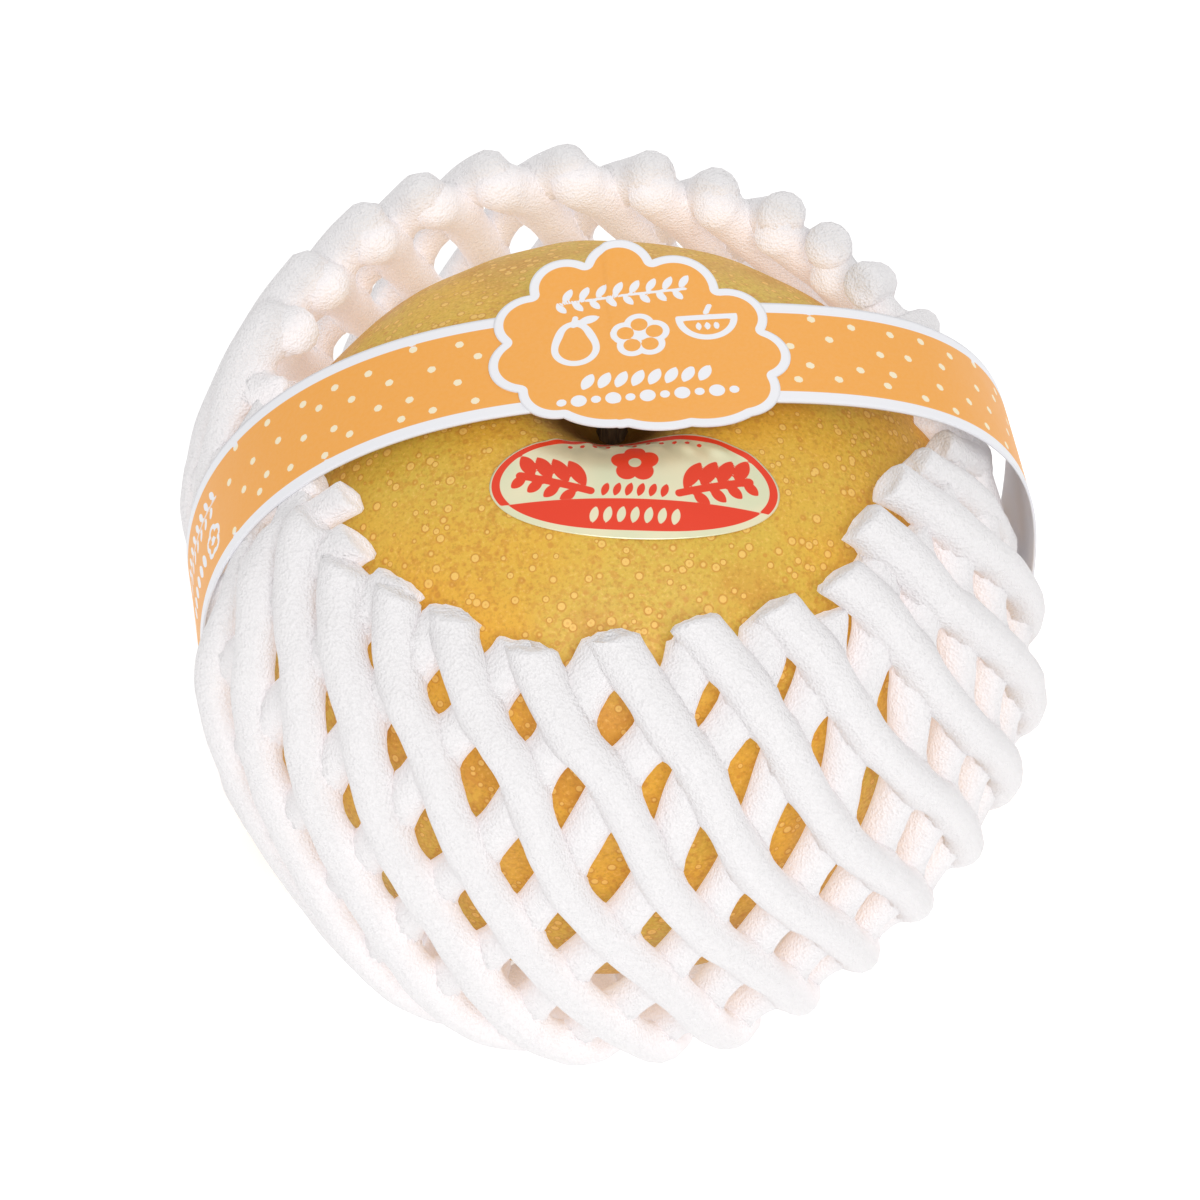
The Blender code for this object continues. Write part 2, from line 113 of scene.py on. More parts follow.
@dataclass
class Surface:
    """Points in millimetres above the fruit's middle, with their faces and marks.

    Attributes:
        points: one row for each point.
        quads: four point numbers a row.
        triangles: three point numbers a row.
        marks: a named value for each point, which a material can read.
    """

    points: Array
    quads: Array
    triangles: Array = field(default_factory=lambda: np.zeros((0, 3), int))
    marks: dict[str, Array] = field(default_factory=dict)

    def joined(self, other: "Surface") -> "Surface":
        """Puts two surfaces into one.

        Args:
            other: the second surface, which carries the same marks.

        Returns:
            The surface that holds both.
        """
        shift = len(self.points)
        return Surface(
            np.concatenate([self.points, other.points]),
            np.concatenate([self.quads, other.quads + shift]),
            np.concatenate([self.triangles, other.triangles + shift]),
            {name: np.concatenate([mark, other.marks[name]]) for name, mark in self.marks.items()},
        )

    def build(
        self, name: str, materials: list[bpy.types.Material], sharp: float = SHARP_EDGE
    ) -> bpy.types.Object:
        """Makes the piece's object, smooth shaded but for its real edges.

        Args:
            name: the piece's name.
            materials: its materials, the first on every face.
            sharp: the angle from which an edge is drawn sharp.

        Returns:
            The object, at the origin, with its place in its mesh.
        """
        mesh = bpy.data.meshes.new(name)
        placed = (self.points + np.array([0.0, 0.0, PEAR_CENTRE_Z])) * MM
        mesh.vertices.add(len(placed))
        mesh.vertices.foreach_set("co", placed.astype(np.float32).ravel())
        corners = np.concatenate([self.quads.ravel(), self.triangles.ravel()])
        starts = np.concatenate([
            np.arange(len(self.quads)) * 4,
            self.quads.size + np.arange(len(self.triangles)) * 3,
        ])
        mesh.loops.add(len(corners))
        mesh.loops.foreach_set("vertex_index", corners.astype(np.int32))
        mesh.polygons.add(len(starts))
        mesh.polygons.foreach_set("loop_start", starts.astype(np.int32))
        mesh.update(calc_edges=True)
        for mark, values in self.marks.items():
            attribute = mesh.attributes.new(mark, "FLOAT", "POINT")
            attribute.data.foreach_set("value", values.astype(np.float32))
        mesh.shade_smooth()
        mesh.set_sharp_from_angle(angle=sharp)
        for material in materials:
            mesh.materials.append(material)
        piece = bpy.data.objects.new(name, mesh)
        bpy.context.scene.collection.objects.link(piece)
        return piece


def grid_quads(rows: int, columns: int, ring: bool) -> Array:
    """Quads of a grid whose points run row by row.

    Args:
        rows: how many rows of points.
        columns: how many points in a row.
        ring: whether a row's last point joins its first.

    Returns:
        Point numbers, four a face, turning from a row towards the next one.
    """
    across = columns if ring else columns - 1
    row, column = np.meshgrid(np.arange(rows - 1), np.arange(across), indexing="ij")
    here = row * columns + column
    beside = row * columns + (column + 1) % columns
    return np.stack([here, beside, beside + columns, here + columns], axis=-1).reshape(-1, 4)


def fan(middle: int, first: int, count: int, outward: bool) -> Array:
    """Triangles from one middle point to a closed ring of points.

    Args:
        middle: the middle point's number.
        first: the number of the ring's first point.
        count: how many points the ring has.
        outward: whether the triangles turn the way that the ring runs.

    Returns:
        Point numbers, three a face.
    """
    ring = first + np.arange(count)
    after = first + (np.arange(count) + 1) % count
    pair = (ring, after) if outward else (after, ring)
    return np.stack([np.full(count, middle), *pair], axis=-1)


def disc_surface(centre: Array, rings: Array, marks: dict[str, Array]) -> Surface:
    """A sheet of rings round one middle point.

    Args:
        centre: the middle point.
        rings: points by ring and spoke, the rings outwards and the spokes anticlockwise.
        marks: a value for the middle point and then for each ring's points.

    Returns:
        The sheet, facing the viewer that sees the spokes run anticlockwise.
    """
    count = rings.shape[1]
    points = np.concatenate([centre[None, :], rings.reshape(-1, 3)])
    quads = grid_quads(len(rings), count, ring=True)[:, ::-1] + 1
    return Surface(points, quads, fan(0, 1, count, outward=True), marks)


class Wire:
    """One output of a shader node. Arithmetic on it adds Math nodes."""

    def __init__(self, nodes: "Nodes", socket: bpy.types.NodeSocket) -> None:
        """Keeps the socket and the nodes that it belongs to."""
        self.nodes = nodes
        self.socket = socket

    def _math(self, operation: str, first: Any, second: Any = 0.0) -> "Wire":
        """A Math node on two values, each a wire or a number."""
        return self.nodes.add("ShaderNodeMath", {"operation": operation}, {0: first, 1: second})

    def __add__(self, other: Any) -> "Wire":
        """The sum."""
        return self._math("ADD", self, other)

    __radd__ = __add__

    def __sub__(self, other: Any) -> "Wire":
        """The difference."""
        return self._math("SUBTRACT", self, other)

    def __rsub__(self, other: Any) -> "Wire":
        """The difference, from a number."""
        return self._math("SUBTRACT", other, self)

    def __mul__(self, other: Any) -> "Wire":
        """The product."""
        return self._math("MULTIPLY", self, other)

    __rmul__ = __mul__

    def __truediv__(self, other: Any) -> "Wire":
        """The quotient."""
        return self._math("DIVIDE", self, other)

    def __pow__(self, other: Any) -> "Wire":
        """The power."""
        return self._math("POWER", self, other)

    def within(self, low: float, high: float) -> "Wire":
        """A smooth mask.

        Args:
            low: where the mask is 0.
            high: where it is 1, which may be the smaller number.

        Returns:
            The mask, held at 0 and 1 past both.
        """
        settings = {"interpolation_type": "SMOOTHSTEP"}
        values = {"Value": self, "From Min": low, "From Max": high}
        if low > high:
            values.update({"From Min": high, "From Max": low, "To Min": 1.0, "To Max": 0.0})
        return self.nodes.add("ShaderNodeMapRange", settings, values)


Value = Union[Wire, float, int, tuple]


class Nodes:
    """The node tree of one new material."""

    def __init__(self, name: str) -> None:
        """Starts an empty tree with its output.

        Args:
            name: the material's name.
        """
        self.material = bpy.data.materials.new(name)
        self.material.use_nodes = True
        self.tree = self.material.node_tree
        self.tree.nodes.clear()
        self.output = self.tree.nodes.new("ShaderNodeOutputMaterial")

    def add(
        self, kind: str, settings: dict[str, Any], values: dict[Any, Value], output: Any = None
    ) -> Wire:
        """Adds a node of any kind.

        Args:
            kind: the node's type name.
            settings: its own settings, set first.
            values: the values or wires of its sockets, by name or number.
            output: the name or number of the output that is wanted; the first one in use if none.

        Returns:
            The wire from that output.
        """
        node = self.tree.nodes.new(kind)
        for key, setting in settings.items():
            setattr(node, key, setting)
        for key, value in values.items():
            socket = node.inputs[key]
            if isinstance(value, Wire):
                self.tree.links.new(value.socket, socket)
            elif isinstance(value, tuple) and socket.type == "RGBA":
                socket.default_value = (*value, 1.0)
            else:
                socket.default_value = value
        if output is None:
            return Wire(self, next(socket for socket in node.outputs if socket.enabled))
        return Wire(self, node.outputs[output])

    def place(self) -> Wire:
        """The surface's place in the object's own metres."""
        return self.add("ShaderNodeTexCoord", {}, {}, "Object")

    def axes(self) -> tuple[Wire, Wire, Wire]:
        """The surface's place as three wires, in metres."""
        parts = [self.add("ShaderNodeSeparateXYZ", {}, {0: self.place()}, axis) for axis in "XYZ"]
        return parts[0], parts[1], parts[2]

    def mark(self, name: str) -> Wire:
        """A value that the mesh carries at each point."""
        return self.add("ShaderNodeAttribute", {"attribute_name": name}, {}, "Fac")

    def noise(self, size: float, detail: float = 2.0, at: Wire | None = None) -> Wire:
        """Noise from 0 to 1 with features of a size in millimetres."""
        values = {"Vector": at or self.place(), "Scale": 1.0 / (size * MM), "Detail": detail}
        return self.add("ShaderNodeTexNoise", {}, values, "Fac")

    def cells(self, size: float, output: str = "Distance") -> Wire:
        """Voronoi cells of a size in millimetres: the distance to their points, or another output."""
        values = {"Vector": self.place(), "Scale": 1.0 / (size * MM)}
        return self.add("ShaderNodeTexVoronoi", {}, values, output)

    def mix(self, share: Value, first: Value, second: Value) -> Wire:
        """A colour between two, by a share from 0 to 1."""
        return self.add("ShaderNodeMix", {"data_type": "RGBA"}, {0: share, 6: first, 7: second}, 2)

    def bump(self, height: Wire, depth: float) -> Wire:
        """A normal from a height of 0 to 1 that stands for a depth in millimetres."""
        values = {"Height": height, "Distance": depth * MM, "Strength": 1.0}
        return self.add("ShaderNodeBump", {}, values)

    def finish(self, values: dict[str, Value]) -> bpy.types.Material:
        """Closes the tree with a Principled shader.

        Args:
            values: the values or wires of the shader's sockets, by name.

        Returns:
            The material.
        """
        shader = self.add("ShaderNodeBsdfPrincipled", {}, values)
        self.tree.links.new(shader.socket, self.output.inputs["Surface"])
        return self.material


@dataclass(frozen=True)
class SkinFinish:
    """Ripe russet-gold skin: ochre, greener where the sun was weak, with pale ringed pores, and painted
    shade in the stalk's cavity.
    """

    gold: Colour = (0.79, 0.445, 0.05)
    green: Colour = (0.71, 0.475, 0.065)
    brown: Colour = (0.62, 0.275, 0.035)
    pore: Colour = (0.93, 0.60, 0.15)
    speck: Colour = (0.36, 0.15, 0.015)
    # painted shade: near-black brown for the shadow in the stalk's cavity
    cavity: Colour = (0.20, 0.075, 0.015)
    patch_size: float = 24.0
    blush_size: float = 17.0
    spread_size: float = 11.0
    russet_size: float = 0.8
    grain_size: float = 0.42
    dent_size: float = 1.6
    pore_pitch: float = 1.65
    pore_radius: float = 0.27
    cavity_from: float = 11.5
    cavity_full: float = 6.0
    upper_half: tuple[float, float] = (50.0, 60.0)
    relief: float = 0.10

    def _painted_cavity_shade(self, nodes: Nodes) -> Wire:
        """Marks the painted shade round the stalk: near the axis, on the upper half.

        Args:
            nodes: the material's nodes.

        Returns:
            The mask, 1 in the cavity.
        """
        x, y, z = nodes.axes()
        radius = (x * x + y * y) ** 0.5
        near_axis = radius.within(self.cavity_from * MM, self.cavity_full * MM)
        return near_axis * z.within(self.upper_half[0] * MM, self.upper_half[1] * MM)

    def _with_pores(self, nodes: Nodes, colour: Wire) -> tuple[Wire, Wire]:
        """Adds the pores: a brown ring, a pale disc and a brown middle, of random size.

        Args:
            nodes: the material's nodes.
            colour: the skin's colour between the pores.

        Returns:
            The colour with pores, and the mask of their discs.
        """
        draw = nodes.cells(self.pore_pitch, "Color") * 1.0
        distance = nodes.cells(self.pore_pitch) / (0.6 + draw * 0.8)
        rim = distance.within(self.pore_radius * 1.35, self.pore_radius * 1.05)
        disc = distance.within(self.pore_radius, self.pore_radius * 0.8)
        middle = distance.within(self.pore_radius * 0.42, self.pore_radius * 0.22)
        colour = nodes.mix(rim * 0.72, colour, self.brown)
        colour = nodes.mix(disc * 0.85, colour, self.pore)
        return nodes.mix(middle * 0.35, colour, self.brown), disc

    def dress(self) -> bpy.types.Material:
        """Makes the material: patches and a blush, then fine russet and grain, then pores, then painted
        shade in the cavity.

        Returns:
            The material.
        """
        nodes = Nodes("pear_skin")
        patches = nodes.noise(self.patch_size, 3.0)
        colour = nodes.mix(patches.within(0.42, 0.62), self.gold, self.green)
        blush = nodes.noise(self.blush_size, 4.0).within(0.52, 0.72)
        colour = nodes.mix(blush * 0.7, colour, self.brown)
        grain = nodes.noise(self.grain_size, 3.0)
        russet = nodes.noise(self.russet_size, 5.0)
        spread = nodes.noise(self.spread_size, 3.0).within(0.35, 0.65) * 0.35 + 0.25
        colour = nodes.mix(russet.within(0.46, 0.62) * spread, colour, self.brown)
        colour = nodes.mix(grain.within(0.52, 0.70) * 0.30, colour, self.speck)
        colour = nodes.mix(grain.within(0.45, 0.28) * 0.45, colour, self.pore)
        colour, disc = self._with_pores(nodes, colour)
        # painted shade in the stalk's cavity
        colour = nodes.mix(self._painted_cavity_shade(nodes) * 0.85, colour, self.cavity)
        height = disc * 0.5 + grain * 0.35 + nodes.noise(self.dent_size, 2.0) * 0.6
        return nodes.finish({
            "Base Color": colour,
            "Roughness": 0.36 + grain * 0.22,
            "Specular IOR Level": 0.42,
            "Subsurface Weight": 0.06,
            "Subsurface Radius": (1.0, 0.5, 0.2),
            "Subsurface Scale": 0.001,
            "Normal": nodes.bump(height, self.relief),
        })


@dataclass(frozen=True)
class FoamFinish:
    """White expanded foam: matt, with fine closed cells. Its faint see-through look is painted: a glow
    all over, stronger in the recesses, and painted shade there.
    """

    white: Colour = (0.75, 0.735, 0.74)
    # painted shade: the foam's colour in the recesses between strands
    shade: Colour = (0.75, 0.71, 0.705)
    # painted light: the foam's glow all over and in the recesses, though it is no lamp
    glow: Colour = (0.27, 0.26, 0.265)
    painted_recess_glow: Colour = (1.0, 0.95, 0.98)
    cell: float = 0.36
    lump_size: float = 1.1
    relief: float = 0.24

    def dress(self) -> bpy.types.Material:
        """Makes the material, with painted shade in its recesses and a painted glow, strongest there,
        for the light that comes through foam.

        Returns:
            The material.
        """
        nodes = Nodes("white_foam")
        cells = nodes.cells(self.cell)
        lumps = nodes.noise(self.lump_size, 4.0)
        # the share of painted shade: the recess mark, mottled by the cells
        recess = (nodes.mark("recess") + cells * 0.35 - 0.12).within(0.0, 1.0)
        return nodes.finish({
            "Base Color": nodes.mix(recess, self.white, self.shade),
            "Roughness": 0.50 + cells * 0.25,
            "Specular IOR Level": 0.35,
            # painted light: an emission that is strongest in the recesses
            "Emission Color": nodes.mix(nodes.mark("recess"), self.glow, self.painted_recess_glow),
            "Emission Strength": 0.32,
            "Normal": nodes.bump(cells * 0.7 + lumps * 0.7, self.relief),
        })


@dataclass(frozen=True)
class PaperFinish:
    """Smooth coated paper, white, printed orange where the mark "orange" is above 0."""

    orange: Colour = (0.90, 0.385, 0.055)
    white: Colour = (0.86, 0.86, 0.89)
    cream: Colour = (0.93, 0.82, 0.58)
    back: Colour = (0.80, 0.80, 0.83)
    back_fibre: Colour = (0.66, 0.66, 0.70)
    ink_edge: float = 0.05

    def dress(self) -> bpy.types.Material:
        """Makes the printed side's material, with cream for white where the mark "cream" is 1.

        Returns:
            The material.
        """
        nodes = Nodes("orange_paper")
        bare = nodes.mix(nodes.mark("cream").within(0.4, 0.6), self.white, self.cream)
        ink = nodes.mark("orange").within(-self.ink_edge, self.ink_edge)
        mottle = nodes.noise(0.5, 2.0)
        inked = nodes.mix(mottle * 0.10, self.orange, self.cream)
        return nodes.finish({
            "Base Color": nodes.mix(ink, bare, inked),
            "Roughness": 0.42 + nodes.noise(3.0) * 0.12,
            "Specular IOR Level": 0.4,
            "Normal": nodes.bump(nodes.noise(0.6, 3.0), 0.012),
        })

    def dress_back(self) -> bpy.types.Material:
        """Makes the plain side's material.

        Returns:
            The material.
        """
        nodes = Nodes("paper_back")
        fibres = nodes.noise(0.7, 4.0)
        return nodes.finish({
            "Base Color": nodes.mix(fibres * 0.2, self.back, self.back_fibre),
            "Roughness": 0.75,
            "Normal": nodes.bump(fibres, 0.02),
        })


@dataclass(frozen=True)
class FoilFinish:
    """Pale gold foil, printed red where the mark "red" is above 0."""

    gold: Colour = (0.95, 0.88, 0.60)
    green: Colour = (0.84, 0.85, 0.58)
    red: Colour = (0.78, 0.045, 0.012)
    ink_edge: float = 0.05

    def dress(self) -> bpy.types.Material:
        """Makes the material.

        Returns:
            The material.
        """
        nodes = Nodes("gold_foil")
        ink = nodes.mark("red").within(-self.ink_edge, self.ink_edge)
        foil = nodes.mix(nodes.noise(7.0, 2.0).within(0.4, 0.65), self.gold, self.green)
        return nodes.finish({
            "Base Color": nodes.mix(ink, foil, self.red),
            "Metallic": (1.0 - ink) * 0.5,
            "Roughness": 0.34 + ink * 0.06,
            "Normal": nodes.bump(nodes.noise(2.2, 3.0), 0.05),
        })


@dataclass(frozen=True)
class WoodFinish:
    """Dry brown stalk with lengthwise fibres, both tones darkened as painted shade of the cavity that it
    stands in.
    """

    # a brown stalk's tones, darkened as painted shade
    dark: Colour = (0.06, 0.03, 0.012)
    pale: Colour = (0.13, 0.075, 0.03)

    def dress(self) -> bpy.types.Material:
        """Makes the material.

        Returns:
            The material.
        """
        nodes = Nodes("stem_wood")
        values = {"Vector": nodes.place(), "Scale": (1.0, 1.0, 0.12)}
        stretched = nodes.add("ShaderNodeMapping", {}, values)
        fibres = nodes.noise(0.35, 4.0, stretched)
        return nodes.finish({
            "Base Color": nodes.mix(fibres.within(0.3, 0.7), self.dark, self.pale),
            "Roughness": 0.85,
            "Normal": nodes.bump(fibres, 0.2),
        })


@dataclass
class Fruit:
    """The pear and its clipped stem. Lengths are in millimetres."""

    radius: float = 47.0
    half_height: float = 43.0
    shoulder: float = 2.3
    cavity_depth: float = 11.0
    cavity_width: float = 7.6
    calyx_depth: float = 6.0
    calyx_width: float = 8.5
    turn_steps: int = 288
    profile_steps: int = 120
    fine_radius: float = 14.0
    fine_steps: int = 40
    unevenness: float = 0.10
    unevenness_length: float = 9.0
    stem_radius: float = 1.65
    stem_length: float = 6.8
    stem_lean: float = 1.0
    stem_flare: float = 0.28
    stem_foot: float = 0.12
    stem_gap: float = 0.2

    def lobes(self, azimuth: Array) -> Array:
        """How far from round the fruit is: 1 plus three slow sine waves, under a hundredth in all.

        Args:
            azimuth: the way from the axis, 0 at the front.

        Returns:
            The skin's distance from the axis, as a share of the turned outline's.
        """
        slow = 0.004 * np.sin(2 * azimuth + 0.7) + 0.0025 * np.sin(3 * azimuth + 2.0)
        return 1.0 + slow + 0.0015 * np.sin(5 * azimuth + 4.1) - 0.002

    def turned_height(self, radius: Array, depth: float, width: float) -> Array:
        """The turned outline: a superellipse less a bell-shaped dimple at the pole.

        Args:
            radius: the distance from the axis.
            depth: the dimple's depth.
            width: the dimple's half width.

        Returns:
            The outline's height.
        """
        share = np.clip(radius / self.radius, 0.0, 1.0)
        dome = (1.0 - share ** self.shoulder) ** (1.0 / self.shoulder)
        return self.half_height * dome - depth * bell(radius / width)

    def skin_height(self, x: Array, y: Array) -> Array:
        """Height of the upper skin at places seen from above."""
        radius = np.hypot(x, y) / self.lobes(np.arctan2(x, -y))
        return self.turned_height(radius, self.cavity_depth, self.cavity_width)

    def build(self) -> bpy.types.Object:
        """Makes the fruit: the outline is carried round the axis, and both poles are closed.

        Returns:
            The piece, in its place in the scene.
        """
        angle = np.linspace(0.0, math.pi / 2, self.profile_steps + 1)
        radius = self.radius * np.sin(angle) ** (2.0 / self.shoulder)
        fine = np.linspace(0.0, self.fine_radius, self.fine_steps)[:-1]
        radius = np.concatenate([fine, radius[radius >= self.fine_radius]])
        top = self.turned_height(radius, self.cavity_depth, self.cavity_width)
        low = -self.turned_height(radius, self.calyx_depth, self.calyx_width)
        radius = np.concatenate([radius, radius[-2::-1]])
        height = np.concatenate([top, low[-2::-1]])
        azimuth = np.linspace(0.0, FULL_TURN, self.turn_steps, endpoint=False)
        out = radius[1:-1, None] * self.lobes(azimuth)[None, :]
        up = np.broadcast_to(height[1:-1, None], out.shape)
        rings = np.stack([out * np.sin(azimuth), -out * np.cos(azimuth), up], axis=-1)
        count = rings.shape[0]
        uneven = self.unevenness * waves(rings, self.unevenness_length, seed=3)
        rings = rings + unit(rings) * uneven[..., None]
        poles = np.array([[0.0, 0.0, height[0]], [0.0, 0.0, height[-1]]])
        points = np.concatenate([rings.reshape(-1, 3), poles])
        first, last = len(points) - 2, len(points) - 1
        caps = np.concatenate([
            fan(first, 0, self.turn_steps, outward=True),
            fan(last, (count - 1) * self.turn_steps, self.turn_steps, outward=False),
        ])
        quads = grid_quads(count, self.turn_steps, ring=True)[:, ::-1]
        piece = Surface(points, quads, caps).build("pear_fruit", [SkinFinish().dress()])
        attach(piece, BODY)
        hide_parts("pear")
        return piece

    def build_stem(self) -> bpy.types.Object:
        """Makes the stalk: a ridged circle carried up a leaning line, widening to its cut end.

        Returns:
            The piece, in its place in the scene.
        """
        share = np.concatenate([[0.0, 0.0], np.linspace(0.0, 1.0, 24), [1.0, 1.0]])
        size = np.concatenate([[0.5], np.ones(26), [0.5]])
        turn = np.linspace(0.0, FULL_TURN, 36, endpoint=False)
        foot = float(self.skin_height(np.float64(self.stem_radius), np.float64(0.0))) + self.stem_gap
        flare = self.stem_flare * share ** 4 + self.stem_foot * (1 - share) ** 4
        girth = self.stem_radius * (1.0 + flare)
        ridges = 1.0 + 0.05 * np.sin(7 * turn)[None, :] + 0.04 * np.sin(3 * turn + 5 * share[:, None])
        out = (girth * size)[:, None] * ridges
        x = self.stem_lean * share[:, None] ** 2 + out * np.cos(turn)
        z = foot + self.stem_length * share[:, None] + 0.25 * share[:, None] * np.sin(turn)
        rings = np.stack([x, out * np.sin(turn), np.broadcast_to(z, x.shape)], axis=-1)
        ends = np.stack([rings[0].mean(axis=0), rings[-1].mean(axis=0)])
        points = np.concatenate([rings.reshape(-1, 3), ends])
        count = rings.shape[0]
        caps = np.concatenate([
            fan(len(points) - 2, 0, len(turn), outward=False),
            fan(len(points) - 1, (count - 1) * len(turn), len(turn), outward=True),
        ])
        quads = grid_quads(count, len(turn), ring=True)
        piece = Surface(points, quads, caps).build("pear_stem", [WoodFinish().dress()])
        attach(piece, BODY)
        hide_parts("stem")
        return piece


class Layer(Enum):
    """The net's two layers, valued by the way that their strands drift going down."""

    INNER = -1
    OUTER = 1

    @staticmethod
    def numbers(layer: Array) -> Array:
        """0 for the inner and 1 for the outer layer, to look up the draws by."""
        return (layer > 0).astype(int)


@dataclass
class BandSheet:
    """The paper band's middle surface: a strip round the fruit. Lengths are in millimetres."""

    left_span: float = 53.7
    right_span: float = 53.5
    left_shoulder: float = 2.31
    right_shoulder: float = 2.86
    top: float = 45.2
    base: float = 44.95
    base_shoulder: float = 3.1
    flatten: float = 1.012
    top_shift: float = 1.2
    top_yaw: float = math.radians(3.9)
    left_shift: float = -5.3
    right_shift: float = 8.5
    left_tilt: float = 2.6
    right_tilt: float = 0.8
    tilt_from: float = -12.0
    tilt_fade: float = 18.0
    width: float = 16.6

    def offset(self, x: Array) -> Array:
        """How far back the strip's middle lies: a straight yaw, bent by the cube near both ends.

        Args:
            x: the way to the right.

        Returns:
            The middle line's y.
        """
        slope = math.tan(self.top_yaw)
        span = np.where(x > 0, self.right_span, self.left_span)
        end = np.where(x > 0, self.right_shift, -self.left_shift)
        return self.top_shift + slope * x + (end - slope * span) * (x / span) ** 3

    def middle(self, angle: Array) -> Array:
        """The strip's middle line.

        It is a superellipse of its own exponent at each shoulder and at the base, shifted back
        by the offset and drawn in as much as the net is there.

        Args:
            angle: the angle round the loop, 0 on the right and a quarter turn at the top.

        Returns:
            The places.
        """
        cosine, sine = np.cos(angle), np.sin(angle)
        shoulder = np.where(cosine > 0, self.right_shoulder, self.left_shoulder)
        shoulder = np.where(sine >= 0, shoulder, self.base_shoulder)
        span = np.where(cosine > 0, self.right_span, self.left_span)
        x = span * signed_power(cosine, 2.0 / shoulder)
        y = self.offset(x)
        draw_in = (1.0 - np.abs(y / span) ** shoulder) ** (1.0 / shoulder)
        reach = np.where(sine >= 0, self.top, self.base)
        z = reach * signed_power(sine, 2.0 / shoulder) * draw_in
        z = np.where(z < 0, np.maximum(z * self.flatten, -self.base), z)
        return np.stack([x * draw_in, y, z], axis=-1)

    def axes(self, angle: Array) -> tuple[Array, Array, Array]:
        """The directions of the sheet along its middle line.

        The outward side is the slope of the superellipsoid through the middle line, its part to
        the back or front scaled by the tilt, which fades out just below the widest place, and
        squared to the line's direction.

        Args:
            angle: the angle round the loop.

        Returns:
            The middle line, the outward side and the way across, towards the back.
        """
        small = 1e-3
        middle = self.middle(angle)
        along = unit(self.middle(angle + small) - self.middle(angle - small))
        upper = middle[..., 2:] >= 0
        right = middle[..., :1] > 0
        reach = np.where(upper, self.top, self.base)
        shoulder = np.where(right, self.right_shoulder, self.left_shoulder)
        shoulder = np.where(upper, shoulder, self.base_shoulder)
        tilt = np.where(right, self.right_tilt, self.left_tilt)
        tilt = 1.0 + (tilt - 1.0) * smooth_step((middle[..., 2:] - self.tilt_from) / self.tilt_fade)
        run = np.hypot(middle[..., :1], middle[..., 1:2]) + 0.01
        push = (run / self.left_span) ** (shoulder - 1) / self.left_span
        lift = signed_power(middle[..., 2:] / reach, shoulder - 1) / reach
        outward = np.concatenate(
            [middle[..., :1] / run * push, middle[..., 1:2] / run * push * tilt, lift], axis=-1)
        outward = np.where(middle[..., 2:] <= -self.base + 0.01, np.array([0.0, 0.0, -1.0]), outward)
        outward = unit(outward - dot(outward, along) * along)
        return middle, outward, unit(np.cross(along, outward))

    def points(self, angle: Array, across: Array, lift: Array) -> Array:
        """Places on the sheet, held above the floor.

        Args:
            angle: the angle round the loop.
            across: the distance from the middle line, towards the back.
            lift: the height over the sheet.

        Returns:
            The places.
        """
        middle, outward, sideways = self.axes(angle)
        placed = middle + sideways * across[..., None] + outward * lift[..., None]
        placed[..., 2] = np.maximum(placed[..., 2], -self.base)
        return placed


